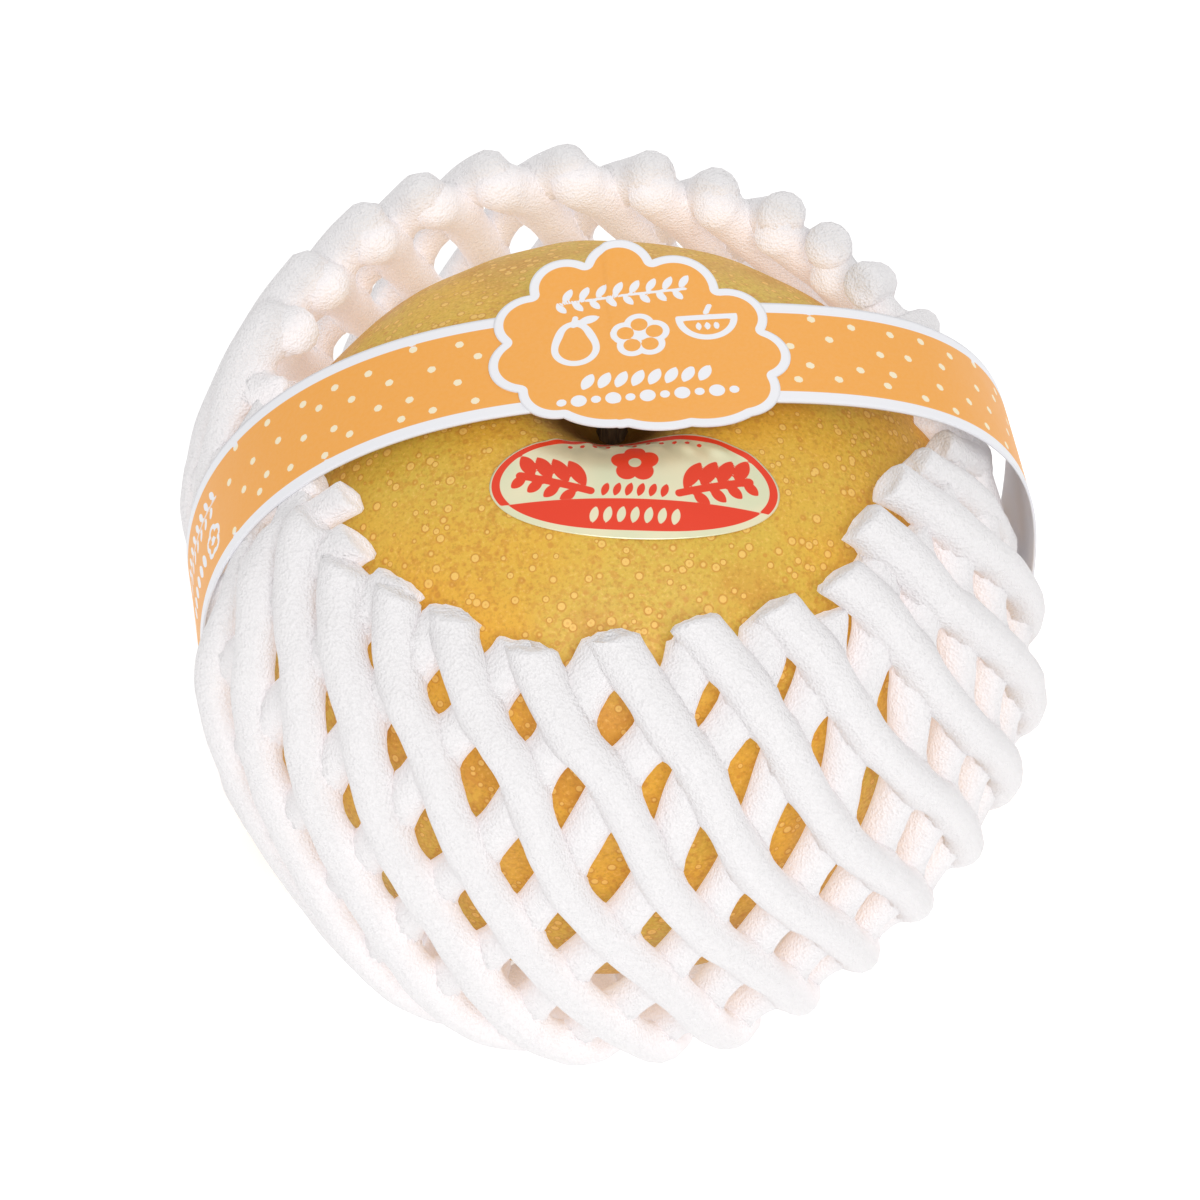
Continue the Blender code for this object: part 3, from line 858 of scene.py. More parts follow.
@dataclass
class FoamNet:
    """The sleeve: two layers of slanting strands, welded where they cross. Millimetres."""

    sheet: BandSheet
    strands: int = 29
    strand_radius: float = 2.5
    # the profile that the inner layer lies on, tight at the front and loose at the back
    radius: float = 50.3
    top_height: float = 46.3
    loose_height: float = 48.0
    base_height: float = 42.5
    base_shoulder: float = 3.2
    shoulder: float = 2.3
    loose_shoulder: float = 3.2
    loose_left: tuple[float, float] = (math.radians(75), math.radians(130))
    loose_right: tuple[float, float] = (math.radians(105), math.radians(180))
    end_radius: float = 28.0
    # how far the layers lie off it, and where the base presses them flat
    layer_step: float = 2.4
    inner_lift: float = 0.7
    layer_step_base: float = 1.0
    press_from: float = 34.0
    press_full: float = 40.0
    stand_wave: tuple[float, float] = (0.22, 1.3)
    # the rim's height and the rows where the strands are cut, in meshes
    rim_front: float = 34.8
    rim_back: float = 33.4
    rim_dip: float = 5.0
    rim_dip_angle: float = math.radians(13)
    rim_phase: float = -0.86
    rim_phase_loose: float = -1.0
    rim_skew: float = 0.24
    rim_change: float = 0.16
    rim_change_inner: float = 0.06
    rim_change_loose: float = 0.3
    end_change: float = 0.15
    # the rows of crossings down the net
    crossings: float = 9.0
    row_raise: float = 0.10
    row_raise_from: float = 2.0
    row_raise_fade: float = 2.0
    row_bump: float = 0.24
    row_bump_width: float = 0.7
    # the strands' course: turn of the whole net, sway in strand steps, splay at the front
    turn: float = 0.524
    sway: tuple[tuple[float, float], ...] = ((0.045, 1.9), (0.035, 0.8))
    splay: float = 0.22
    splay_rows: float = 2.2
    splay_width: float = 1.1
    # where the paper band squeezes the net
    squeeze_half_width: float = 9.5
    squeeze_fade: float = 7.5
    squeezed_radius: float = 1.9
    squeezed_step: float = 0.8
    band_gap: float = 0.35
    band_places: tuple[int, int] = (480, 9)
    band_reach: float = 4.0
    band_push: tuple[float, float] = (1.2, 2.5)
    # the strands' section, thicker near the rim, and the fillets of their welds
    rings_per_row: int = 10
    sides: int = 14
    girth_range: tuple[float, float] = (0.95, 1.06)
    loose_swell: float = 0.22
    rim_swell: float = 0.12
    rim_swell_reach: float = 17.0
    lumpiness: float = 0.035
    lump_length: float = 5.0
    fillet: float = 1.6
    loose_fillet: float = 2.2
    # the cut ends: their rings, roundness, flare, lean into the cut and raggedness
    cap_sizes: tuple[float, ...] = (0.02, 0.45, 0.80, 1.0)
    rim_shares: tuple[float, ...] = (0.004, 0.010, 0.018)
    body_shares: tuple[float, float] = (0.03, 0.98)
    tip_round: float = 0.25
    tip_round_loose: float = 0.65
    tip_hollow: float = 0.45
    tip_flare: float = 0.07
    tip_flare_reach: float = 2.2
    tip_lean_reach: float = 3.0
    ragged_fine: tuple[float, float] = (0.16, 1.4)
    ragged_coarse: tuple[float, float] = (0.25, 4.0)
    ragged_reach: float = 0.8
    # how deep the recesses' painted glow and painted shade lie, and dents by handling
    recess_top: float = 3.4
    recess_depth: float = 4.4
    recess_at_ends: float = 0.4
    smooth_to: float = math.radians(85)
    lumps: tuple[tuple[float, float, float, float, float], ...] = (
        (-102.0, 5.0, 28.0, 18.0, 2.8),
        (145.0, 27.0, 34.0, 18.0, -2.5),
        (168.0, 32.0, 22.0, 14.0, -1.3),
        (-126.0, 28.0, 20.0, 14.0, -1.3),
        (-62.0, -22.0, 22.0, 14.0, -2.8),
        (47.0, -28.0, 18.0, 12.0, -1.8),
        (80.0, -8.0, 25.0, 14.0, 1.3),
    )
    seed: int = 20

    def __post_init__(self) -> None:
        """Works out the profile table and the seeded draws for every strand."""
        self.table = self._profile_table(azimuths=240, shares=200)
        draw = np.random.default_rng(self.seed)
        shape = (2, self.strands)
        self.phases = draw.uniform(0, FULL_TURN, size=(3, *shape))
        change = draw.uniform(-self.rim_change, self.rim_change, size=shape)
        self.rim_changes = change + np.array([[self.rim_change_inner], [0.0]])
        self.end_changes = draw.uniform(-self.end_change, self.end_change, size=shape)
        self.girths = draw.uniform(*self.girth_range, size=shape)

    def _looseness(self, azimuth: Array) -> Array:
        """How far the net stands away from the fruit.

        Args:
            azimuth: the way from the axis, 0 at the front and growing to the right.

        Returns:
            0 at the front, 1 at the back, and an S curve between, of its own on each side.
        """
        turned = half_turned(azimuth)
        start = np.where(turned > 0, self.loose_right[0], self.loose_left[0])
        stop = np.where(turned > 0, self.loose_right[1], self.loose_left[1])
        return smooth_step((np.abs(turned) - start) / (stop - start))

    def _profile_table(self, azimuths: int, shares: int) -> Array:
        """Works out the profile from the rim to the lower end.

        Each azimuth has an upper superellipse, higher at the loose back, and a lower one for
        the base. The rim dips where the band crosses it, by two bell shapes.

        Args:
            azimuths: how many steps the table has round the net.
            shares: how many places it has along the profile.

        Returns:
            Radius and height by azimuth and by share of the length along the profile.
        """
        azimuth = np.linspace(0.0, FULL_TURN, azimuths + 1)
        loose = self._looseness(azimuth)
        turned = np.abs(half_turned(azimuth))
        dip = self.rim_dip * bell((turned - math.pi / 2) / self.rim_dip_angle)
        top = self.top_height + (self.loose_height - self.top_height) * loose
        power = self.shoulder + (self.loose_shoulder - self.shoulder) * loose
        rim = self.rim_front + (self.rim_back - self.rim_front) * loose - dip
        down = np.linspace(np.arcsin((rim / top) ** (power / 2)), 0.0, shares, axis=-1)
        upper_r = self.radius * np.cos(down) ** (2.0 / power[:, None])
        upper_z = top[:, None] * np.sin(down) ** (2.0 / power[:, None])
        under = np.linspace(0.0, 1.0, shares) ** 2 * math.pi / 2
        lower_r = self.radius * np.cos(under) ** (2.0 / self.base_shoulder)
        lower_z = -self.base_height * np.sin(under) ** (2.0 / self.base_shoulder)
        keep = (lower_r >= self.end_radius) & (under > 0)
        radius = np.concatenate([upper_r, np.tile(lower_r[keep], (len(azimuth), 1))], axis=1)
        height = np.concatenate([upper_z, np.tile(lower_z[keep], (len(azimuth), 1))], axis=1)
        steps = np.hypot(np.diff(radius, axis=1), np.diff(height, axis=1))
        length = np.concatenate([np.zeros((len(azimuth), 1)), np.cumsum(steps, axis=1)], axis=1)
        even = np.linspace(0.0, 1.0, shares)
        rows = [
            (np.interp(even * run[-1], run, out), np.interp(even * run[-1], run, up))
            for run, out, up in zip(length, radius, height)
        ]
        table = np.array(rows).transpose(0, 2, 1)
        slope = unit(np.gradient(table, axis=1))
        push = self._push(azimuth[:, None], table[..., 1])
        return table + np.stack([-slope[..., 1], slope[..., 0]], axis=-1) * push[..., None]

    def _push(self, azimuth: Array, height: Array) -> Array:
        """How far handling has pushed the net out or in: bell-shaped lumps.

        Each lump has the azimuth and height of its middle, its half widths in degrees and in
        millimetres, and its push.

        Args:
            azimuth: the way from the axis.
            height: the height on the profile.

        Returns:
            The push outwards.
        """
        push = np.zeros(np.broadcast(azimuth, height).shape)
        for middle, level, wide, tall, depth in self.lumps:
            turned = (np.degrees(azimuth) - middle + 180.0) % 360.0 - 180.0
            push = push + depth * bell(turned / wide) * bell((height - level) / tall)
        return push

    def _profile(self, azimuth: Array, share: Array) -> Array:
        """Reads the profile between the table's places, and runs it on straight past its ends.

        Args:
            azimuth: the way from the axis.
            share: the share of the profile's length, from the rim down.

        Returns:
            Radius and height.
        """
        azimuths, shares = self.table.shape[:2]
        turned = (azimuth % FULL_TURN) / FULL_TURN * (azimuths - 1)
        column = np.clip(np.floor(turned).astype(int), 0, azimuths - 2)
        along = share * (shares - 1)
        row = np.clip(np.floor(along).astype(int), 0, shares - 2)
        beside = (turned - column)[..., None]
        after = (along - row)[..., None]
        here = self.table[column, row] * (1 - after) + self.table[column, row + 1] * after
        there = self.table[column + 1, row] * (1 - after) + self.table[column + 1, row + 1] * after
        return here * (1 - beside) + there * beside

    def _share(self, rows: Array, loose: Array) -> Array:
        """Where a row lies on the profile.

        The rows near the rim lie a little higher, one of them by a bell-shaped bump, which is
        the row after the rim's at the front and the rim's own at the loose back.

        Args:
            rows: how far down, in meshes from the first row of crossings.
            loose: how far the net stands away from the fruit there.

        Returns:
            The share of the profile's length.
        """
        phase = self.rim_phase + (self.rim_phase_loose - self.rim_phase) * loose
        faded = smooth_step((rows - self.row_raise_from) / self.row_raise_fade)
        raised = self.row_raise * (1.0 - faded)
        raised = raised + self.row_bump * bell((rows - 1.0 + loose) / self.row_bump_width)
        return (rows - raised - phase) / (self.rim_phase + self.crossings - phase)

    def _line(self, layer: Array, index: Array, rows: Array) -> tuple[Array, Array, Array, Array]:
        """Middle lines of strands.

        The azimuth grows by half a strand step a row, to one side or the other by layer, with
        two slow seeded waves. The outer layer lies a layer step further out, and both are
        pressed flat under the band and under the fruit.

        Args:
            layer: -1 for the inner and 1 for the outer layer.
            index: which strand.
            rows: how far down, in meshes from the first row of crossings.

        Returns:
            The place, the outward side, the way down the net and the strand's radius.
        """
        kind = Layer.numbers(layer)
        first, second, third = self.phases[:, kind, index]
        (wide, quick), (narrow, slow) = self.sway
        sway = wide * np.sin(quick * rows + first) + narrow * np.sin(slow * rows + second)
        azimuth = (index + self.turn + layer * rows / 2 + sway) * FULL_TURN / self.strands
        azimuth = azimuth + self._splay(azimuth, rows)
        loose = self._looseness(azimuth)
        share = self._share(rows, loose)
        here = self._profile(azimuth, share)
        slope = unit(self._profile(azimuth, share + 0.01) - self._profile(azimuth, share - 0.01))
        sine, cosine = np.sin(azimuth), np.cos(azimuth)
        pressed = self._squeeze(here[..., 0] * sine, -here[..., 0] * cosine)
        base = smooth_step((-here[..., 1] - self.press_from) / (self.press_full - self.press_from))
        free = self.layer_step + (self.layer_step_base - self.layer_step) * base
        step = np.minimum(free, free + (self.squeezed_step - free) * pressed)
        lift = self.inner_lift * (1 - base) * (1 - pressed)
        thinner = pressed * (self.strand_radius - self.squeezed_radius)
        offset = np.where(layer > 0, step, 0.0) + lift - thinner
        swing, pace = self.stand_wave
        offset = offset + swing * np.sin(pace * rows + third) * (1 - pressed) * (1 - base)
        out = here[..., 0] - slope[..., 1] * offset
        up = here[..., 1] + slope[..., 0] * offset
        place = np.stack([out * sine, -out * cosine, up], axis=-1)
        side = np.stack([-slope[..., 1] * sine, slope[..., 1] * cosine, slope[..., 0]], axis=-1)
        down = np.stack([slope[..., 0] * sine, -slope[..., 0] * cosine, slope[..., 1]], axis=-1)
        girth = self.strand_radius * self.girths[kind, index]
        girth = girth * (1 - pressed * (1 - self.squeezed_radius / self.strand_radius))
        from_rim = (rows - self.rim_phase) * self.radius * 2 / self.crossings
        swell = self.rim_swell * (1 - loose) + self.loose_swell * loose
        girth = girth * (1 + swell * bell(from_rim / self.rim_swell_reach))
        return place, side, down, girth

    def _splay(self, azimuth: Array, rows: Array) -> Array:
        """How far the strands' upper ends are spread to both sides of the front.

        Args:
            azimuth: a strand's azimuth without the spread.
            rows: how far down.

        Returns:
            The change of azimuth: the azimuth's sine times a bell shape, faded down the rows.
        """
        turned = half_turned(azimuth)
        near_rim = 1.0 - smooth_step((rows - self.rim_phase) / self.splay_rows)
        return self.splay * near_rim * np.sin(turned) * bell(turned / self.splay_width)

    def _squeeze(self, x: Array, y: Array) -> Array:
        """1 where the band presses the net, 0 away from it."""
        away = np.abs(y - self.sheet.offset(x)) - self.squeeze_half_width
        return 1.0 - smooth_step(away / self.squeeze_fade)

    def _heading(self, layer: Array, index: Array, rows: Array) -> tuple[Array, Array]:
        """A strand's course, from places just above and below.

        Args:
            layer: the strand's layer.
            index: the strand's number.
            rows: how far down.

        Returns:
            Its direction and its length a row.
        """
        small = 0.02
        after = self._line(layer, index, rows + small)[0]
        before = self._line(layer, index, rows - small)[0]
        run = after - before
        return unit(run), np.linalg.norm(run, axis=-1) / (2 * small)

    def _ends(self, layer: Array, index: Array) -> tuple[Array, Array]:
        """The rows where strands begin and end.

        At the loose back they begin at a row of crossings, almost evenly, and elsewhere just
        under it. On the left the inner layer's begin higher than the outer's, and on the right
        the outer's do, by the azimuth's sine.

        Args:
            layer: the strands' layers.
            index: the strands' numbers.

        Returns:
            The first and the last row of each.
        """
        kind = Layer.numbers(layer)
        azimuth = (index + self.turn + layer * self.rim_phase / 2) * FULL_TURN / self.strands
        loose = self._looseness(azimuth)
        first = self.rim_phase + (self.rim_phase_loose - self.rim_phase) * loose
        first = first + self.rim_changes[kind, index] * (1.0 - (1.0 - self.rim_change_loose) * loose)
        first = first - self.rim_skew * layer * np.sin(azimuth) * (1.0 - loose)
        return first, self.rim_phase + self.crossings + self.end_changes[kind, index]

    def _depth(self, points: Array, layer: Array, index: Array, rows: Array) -> tuple[Array, Array]:
        """How far points lie outside a strand, and the way out of it.

        The nearest place on the strand's line is found by stepping along it twice by the
        distance still to go, and stays a little off the strand's ends.

        Args:
            points: the places.
            layer: the strand's layer.
            index: the strand's number.
            rows: a first guess of the row.

        Returns:
            The distance from the strand's surface, below 0 inside it, and a unit vector.
        """
        low, high = self._ends(layer, index)
        margin = 0.15
        for _ in range(2):
            place = self._line(layer, index, rows)[0]
            heading, pace = self._heading(layer, index, rows)
            rows = rows + dot(points - place, heading)[..., 0] / pace
            rows = np.clip(rows, low + margin, high - margin)
        place, _, _, girth = self._line(layer, index, rows)
        away = points - place
        length = np.linalg.norm(away, axis=-1, keepdims=True)
        return length - girth[..., None], away / (length + 1e-9)

    def _strand_grid(self) -> tuple[Array, Array, Array, Array]:
        """Layer, strand, row and ring size for every ring of every strand, caps included.

        Returns:
            The layer, strand, row and ring size of every ring.
        """
        body = int(self.crossings * self.rings_per_row)
        near = np.array(self.rim_shares)
        inner = np.linspace(*self.body_shares, body - 2)
        cap = len(self.cap_sizes)
        share = np.concatenate([[0.0] * cap, near, inner, 1.0 - near[:1], [1.0] * cap])
        size = np.concatenate([self.cap_sizes, np.ones(len(share) - 2 * cap), self.cap_sizes[::-1]])
        layer = np.repeat([Layer.INNER.value, Layer.OUTER.value], self.strands)[:, None]
        index = np.tile(np.arange(self.strands), 2)[:, None]
        first, last = self._ends(layer, index)
        rows = first + (last - first) * share[None, :]
        layer = np.broadcast_to(layer, rows.shape)
        index = np.broadcast_to(index, rows.shape)
        return layer, index, rows, np.broadcast_to(size, rows.shape)

    def _sweep(self) -> tuple[Array, Array, Array, Array]:
        """Carries the round section along every strand.

        A ring is the middle plus the radius times the cosine of the turn along the outward
        side and its sine along the way across. Near both ends the rings lean into the plane
        of the cut, which is square to the net and not to the strand, and flare a little.

        Returns:
            The points by strand, ring and side, and each ring's layer, strand and row.
        """
        layer, index, rows, size = self._strand_grid()
        place, side, down, girth = self._line(layer, index, rows)
        heading, pace = self._heading(layer, index, rows)
        outward = unit(side - dot(side, heading) * heading)
        across = np.cross(heading, outward)
        turn = np.linspace(0.0, FULL_TURN, self.sides, endpoint=False)
        cosine, sine = np.cos(turn)[:, None], np.sin(turn)[:, None]
        ring = cosine * outward[..., None, :] + sine * across[..., None, :]
        from_rim = (rows - rows[:, :1]) * pace
        from_end = (rows[:, -1:] - rows) * pace
        to_cut = np.minimum(from_rim, from_end)
        inward = np.where(from_rim < from_end, 1.0, -1.0)
        azimuth = np.arctan2(place[..., 0], -place[..., 1])
        round_end = self.tip_round + self.tip_round_loose * self._looseness(azimuth)
        flare = 1.0 + self.tip_flare * bell(to_cut / self.tip_flare_reach) * (1 - round_end)
        skin = place[..., None, :] + ring * 2.7
        lumps = 1.0 + self.lumpiness * waves(skin, self.lump_length, seed=7)
        radius = (girth * size * flare)[..., None] * lumps
        points = place[..., None, :] + ring * radius[..., None]
        lean = -dot(points - place[..., None, :], down[..., None, :])
        lean = lean / dot(heading, down)[..., None, :]
        lean = lean * (bell(to_cut / self.tip_lean_reach) * (1 - round_end))[..., None, None]
        (fine, fine_length), (coarse, coarse_length) = self.ragged_fine, self.ragged_coarse
        ragged = fine * waves(points, fine_length, seed=11)
        ragged = ragged + coarse * waves(points, coarse_length, seed=12)
        ragged = ragged * bell(to_cut / self.ragged_reach)[..., None]
        dome = -girth * round_end * (np.sqrt(np.maximum(1 - size ** 2, 0.0)) * 0.8 + 0.2 * (1 - size))
        hollow = self.tip_hollow * (1 - size) * (1 - round_end)
        cap = ((dome + hollow) * inward)[..., None]
        points = points + heading[..., None, :] * (lean + (ragged + cap)[..., None])
        return points, layer, index, rows

    def _weld(self, points: Array, layer: Array, index: Array, rows: Array) -> Array:
        """Pushes the strands' surfaces out to a smooth union with the strands they cross.

        With a and b the distances from the own and the crossing strand, h the share
        1/2 + (b - a)/2k held from 0 to 1 and k the fillet, the union's distance is
        b(1-h) + ah - kh(1-h). Points step back along its slope until it is 0. Points deep
        inside the other strand stay there.

        Args:
            points: places by strand, ring and side.
            layer: each ring's layer.
            index: each ring's strand.
            rows: each ring's row.

        Returns:
            The moved places.
        """
        layer = np.broadcast_to(layer[..., None], points.shape[:-1])
        index = np.broadcast_to(index[..., None], points.shape[:-1])
        rows = np.broadcast_to(rows[..., None], points.shape[:-1])
        azimuth = np.arctan2(points[..., 0], -points[..., 1])
        azimuth = (azimuth - self._splay(azimuth, rows)) * self.strands / FULL_TURN
        other = np.round(azimuth - self.turn + layer * rows / 2).astype(int) % self.strands
        loose = self._looseness(azimuth * FULL_TURN / self.strands)
        fillet = self.fillet + (self.loose_fillet - self.fillet) * loose
        near = np.abs(self._depth(points, -layer, other, rows)[0][..., 0]) < 2 * fillet
        moved = points[near]
        fillet = fillet[near][..., None]
        own = (layer[near], index[near], rows[near])
        cross = (-layer[near], other[near], rows[near])
        for _ in range(2):
            a, way_a = self._depth(moved, *own)
            b, way_b = self._depth(moved, *cross)
            share = np.clip(0.5 + 0.5 * (b - a) / fillet, 0.0, 1.0)
            level = b * (1 - share) + a * share - fillet * share * (1 - share)
            level = np.where(share < 1.0, level, 0.0)
            shown = smooth_step((b + 0.7) / 0.6)
            moved = moved - unit(way_b * (1 - share) + way_a * share) * np.minimum(level, 0.0) * shown
        welded = points.copy()
        welded[near] = moved
        return welded

    def _press_under_band(self, points: Array) -> Array:
        """Moves what would stand through the paper inwards, to just under it.

        Every point near the band is measured against the nearest of a grid of places on the
        sheet, along that place's outward side.

        Args:
            points: the net's points.

        Returns:
            The moved points.
        """
        half = self.sheet.width / 2
        angle = np.linspace(0.0, FULL_TURN, self.band_places[0], endpoint=False)
        across = np.linspace(-half, half, self.band_places[1])
        angle, across = (grid.ravel() for grid in np.meshgrid(angle, across))
        places = self.sheet.points(angle, across, np.zeros_like(across))
        outward = self.sheet.axes(angle)[1]
        flat = points.reshape(-1, 3)
        beside_line = np.abs(flat[:, 1] - self.sheet.offset(flat[:, 0]))
        chosen = np.flatnonzero(beside_line < half + self.band_reach)
        moved = flat.copy()
        for part in np.array_split(chosen, max(1, len(chosen) // 2000)):
            gaps = np.linalg.norm(flat[part, None, :] - places[None, :, :], axis=-1)
            nearest = gaps.argmin(axis=1)
            away = flat[part] - places[nearest]
            height = dot(away, outward[nearest])
            beside = np.linalg.norm(away - height * outward[nearest], axis=-1, keepdims=True)
            share = 1.0 - smooth_step((beside - self.band_push[0]) / self.band_push[1])
            inwards = np.maximum(height + self.band_gap, 0.0) * share
            moved[part] = flat[part] - outward[nearest] * inwards
        return moved.reshape(points.shape)

    def _recess(self, points: Array, layer: Array, index: Array, rows: Array) -> Array:
        """How deep between the strands points lie, which sets the foam's painted shade and glow.

        Args:
            points: places by strand, ring and side.
            layer: each ring's layer.
            index: each ring's strand.
            rows: each ring's row.

        Returns:
            1 on the inner layer's inner side, falling to 0 on the outer layer's outer side.
        """
        side = self._line(np.full_like(layer, Layer.INNER.value), index, rows)[1]
        centre = self._line(layer, index, rows)[0]
        own_step = np.where(layer > 0, self.layer_step, 0.0)[..., None]
        height = dot(points - centre[..., None, :], side[..., None, :])[..., 0] + own_step
        return 1.0 - smooth_step((height - self.recess_top + self.recess_depth) / self.recess_depth)

    def build(self) -> bpy.types.Object:
        """Makes the net as one piece of welded strands, with closed ragged cut ends.

        Returns:
            The piece, in its place in the scene.
        """
        points, layer, index, rows = self._sweep()
        points = self._weld(points, layer, index, rows)
        points = self._press_under_band(points)
        strands, rings, sides = points.shape[:3]
        quads = grid_quads(rings, sides, ring=True)
        first = np.arange(strands)[:, None, None] * rings * sides
        quads = (quads[None, :, :] + first).reshape(-1, 4)
        ends = np.concatenate([points[:, :1].mean(axis=2), points[:, -1:].mean(axis=2)], axis=1)
        body = points.reshape(-1, 3)
        caps = [
            np.concatenate([
                fan(len(body) + 2 * strand, strand * rings * sides, sides, outward=False),
                fan(len(body) + 2 * strand + 1, ((strand + 1) * rings - 1) * sides, sides, outward=True),
            ])
            for strand in range(strands)
        ]
        # the depth between strands, which the foam's material turns into painted shade and glow
        recess = self._recess(points, layer, index, rows).ravel()
        marks = {"recess": np.concatenate([recess, np.full(2 * strands, self.recess_at_ends)])}
        every_point = np.concatenate([body, ends.reshape(-1, 3)])
        surface = Surface(every_point, quads, np.concatenate(caps), marks)
        piece = surface.build("foam_sleeve", [FoamFinish().dress()], sharp=self.smooth_to)
        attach(piece, BODY)
        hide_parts("foam_net")
        return piece


class Ink:
    """Signed distances in millimetres to plain figures: below 0 inside. Formulas are in x and y."""

    @staticmethod
    def dot(x: Array, y: Array, at: Point, radius: float) -> Array:
        """A round dot: the distance from its middle less its radius."""
        return np.hypot(x - at[0], y - at[1]) - radius

    @staticmethod
    def stroke(x: Array, y: Array, start: Point, end: Point, width: float) -> Array:
        """A straight stroke with round ends: the distance from its line less half its width.

        Args:
            x: how far right the points are.
            y: how far up they are.
            start: where the stroke's line begins.
            end: where it ends.
            width: the stroke's width.

        Returns:
            The distances.
        """
        run = (end[0] - start[0], end[1] - start[1])
        share = ((x - start[0]) * run[0] + (y - start[1]) * run[1]) / (run[0] ** 2 + run[1] ** 2)
        share = np.clip(share, 0.0, 1.0)
        return np.hypot(x - start[0] - share * run[0], y - start[1] - share * run[1]) - width / 2

    @staticmethod
    def leaf(x: Array, y: Array, at: Point, turn: float, length: float, width: float) -> Array:
        """A leaf: what two equal circles share, pointed at both ends.

        Args:
            x: how far right the points are.
            y: how far up they are.
            at: the leaf's middle.
            turn: the angle from the right to its length.
            length: its length.
            width: its width.

        Returns:
            The distances.
        """
        cosine, sine = math.cos(turn), math.sin(turn)
        along = (x - at[0]) * cosine + (y - at[1]) * sine
        beside = np.abs(-(x - at[0]) * sine + (y - at[1]) * cosine)
        radius = (length ** 2 / 4 + width ** 2 / 4) / width
        return np.hypot(along, beside + radius - width / 2) - radius

    @staticmethod
    def leaves(
        x: Array, y: Array, count: int, first: Point, step: Point, turn: float, size: Point
    ) -> Array:
        """A row of equal leaves: the nearest of them.

        Args:
            x: how far right the points are.
            y: how far up they are.
            count: how many leaves there are.
            first: the first leaf's middle.
            step: the way from one to the next.
            turn: the angle in degrees from the right to their length.
            size: their length and width.

        Returns:
            The distances.
        """
        places = [(first[0] + step[0] * number, first[1] + step[1] * number) for number in range(count)]
        return np.minimum.reduce([Ink.leaf(x, y, at, math.radians(turn), *size) for at in places])

    @staticmethod
    def outline(distance: Array, width: float) -> Array:
        """A line of a width along the edge of another figure."""
        return np.abs(distance) - width / 2

    @staticmethod
    def blossom(x: Array, y: Array, at: Point, radius: float) -> Array:
        """Five round petals: the nearest of five dots set round the middle.

        Args:
            x: how far right the points are.
            y: how far up they are.
            at: the blossom's middle.
            radius: how far its petals reach.

        Returns:
            The distances.
        """
        out = radius * 0.56
        turns = np.arange(5) * FULL_TURN / 5 + math.pi / 2
        middles = [(at[0] + out * math.cos(turn), at[1] + out * math.sin(turn)) for turn in turns]
        return np.minimum.reduce([Ink.dot(x, y, middle, radius * 0.44) for middle in middles])

    @staticmethod
    def fruit(x: Array, y: Array, at: Point, radius: float) -> Array:
        """A pear: a large and a small dot, joined smoothly.

        Args:
            x: how far right the points are.
            y: how far up they are.
            at: the large dot's middle.
            radius: its radius.

        Returns:
            The distances.
        """
        body = Ink.dot(x, y, at, radius)
        neck = Ink.dot(x, y, (at[0], at[1] + radius * 1.15), radius * 0.5)
        share = np.clip(0.5 + 0.5 * (neck - body) / radius, 0.0, 1.0)
        return neck * (1 - share) + body * share - radius * share * (1 - share)


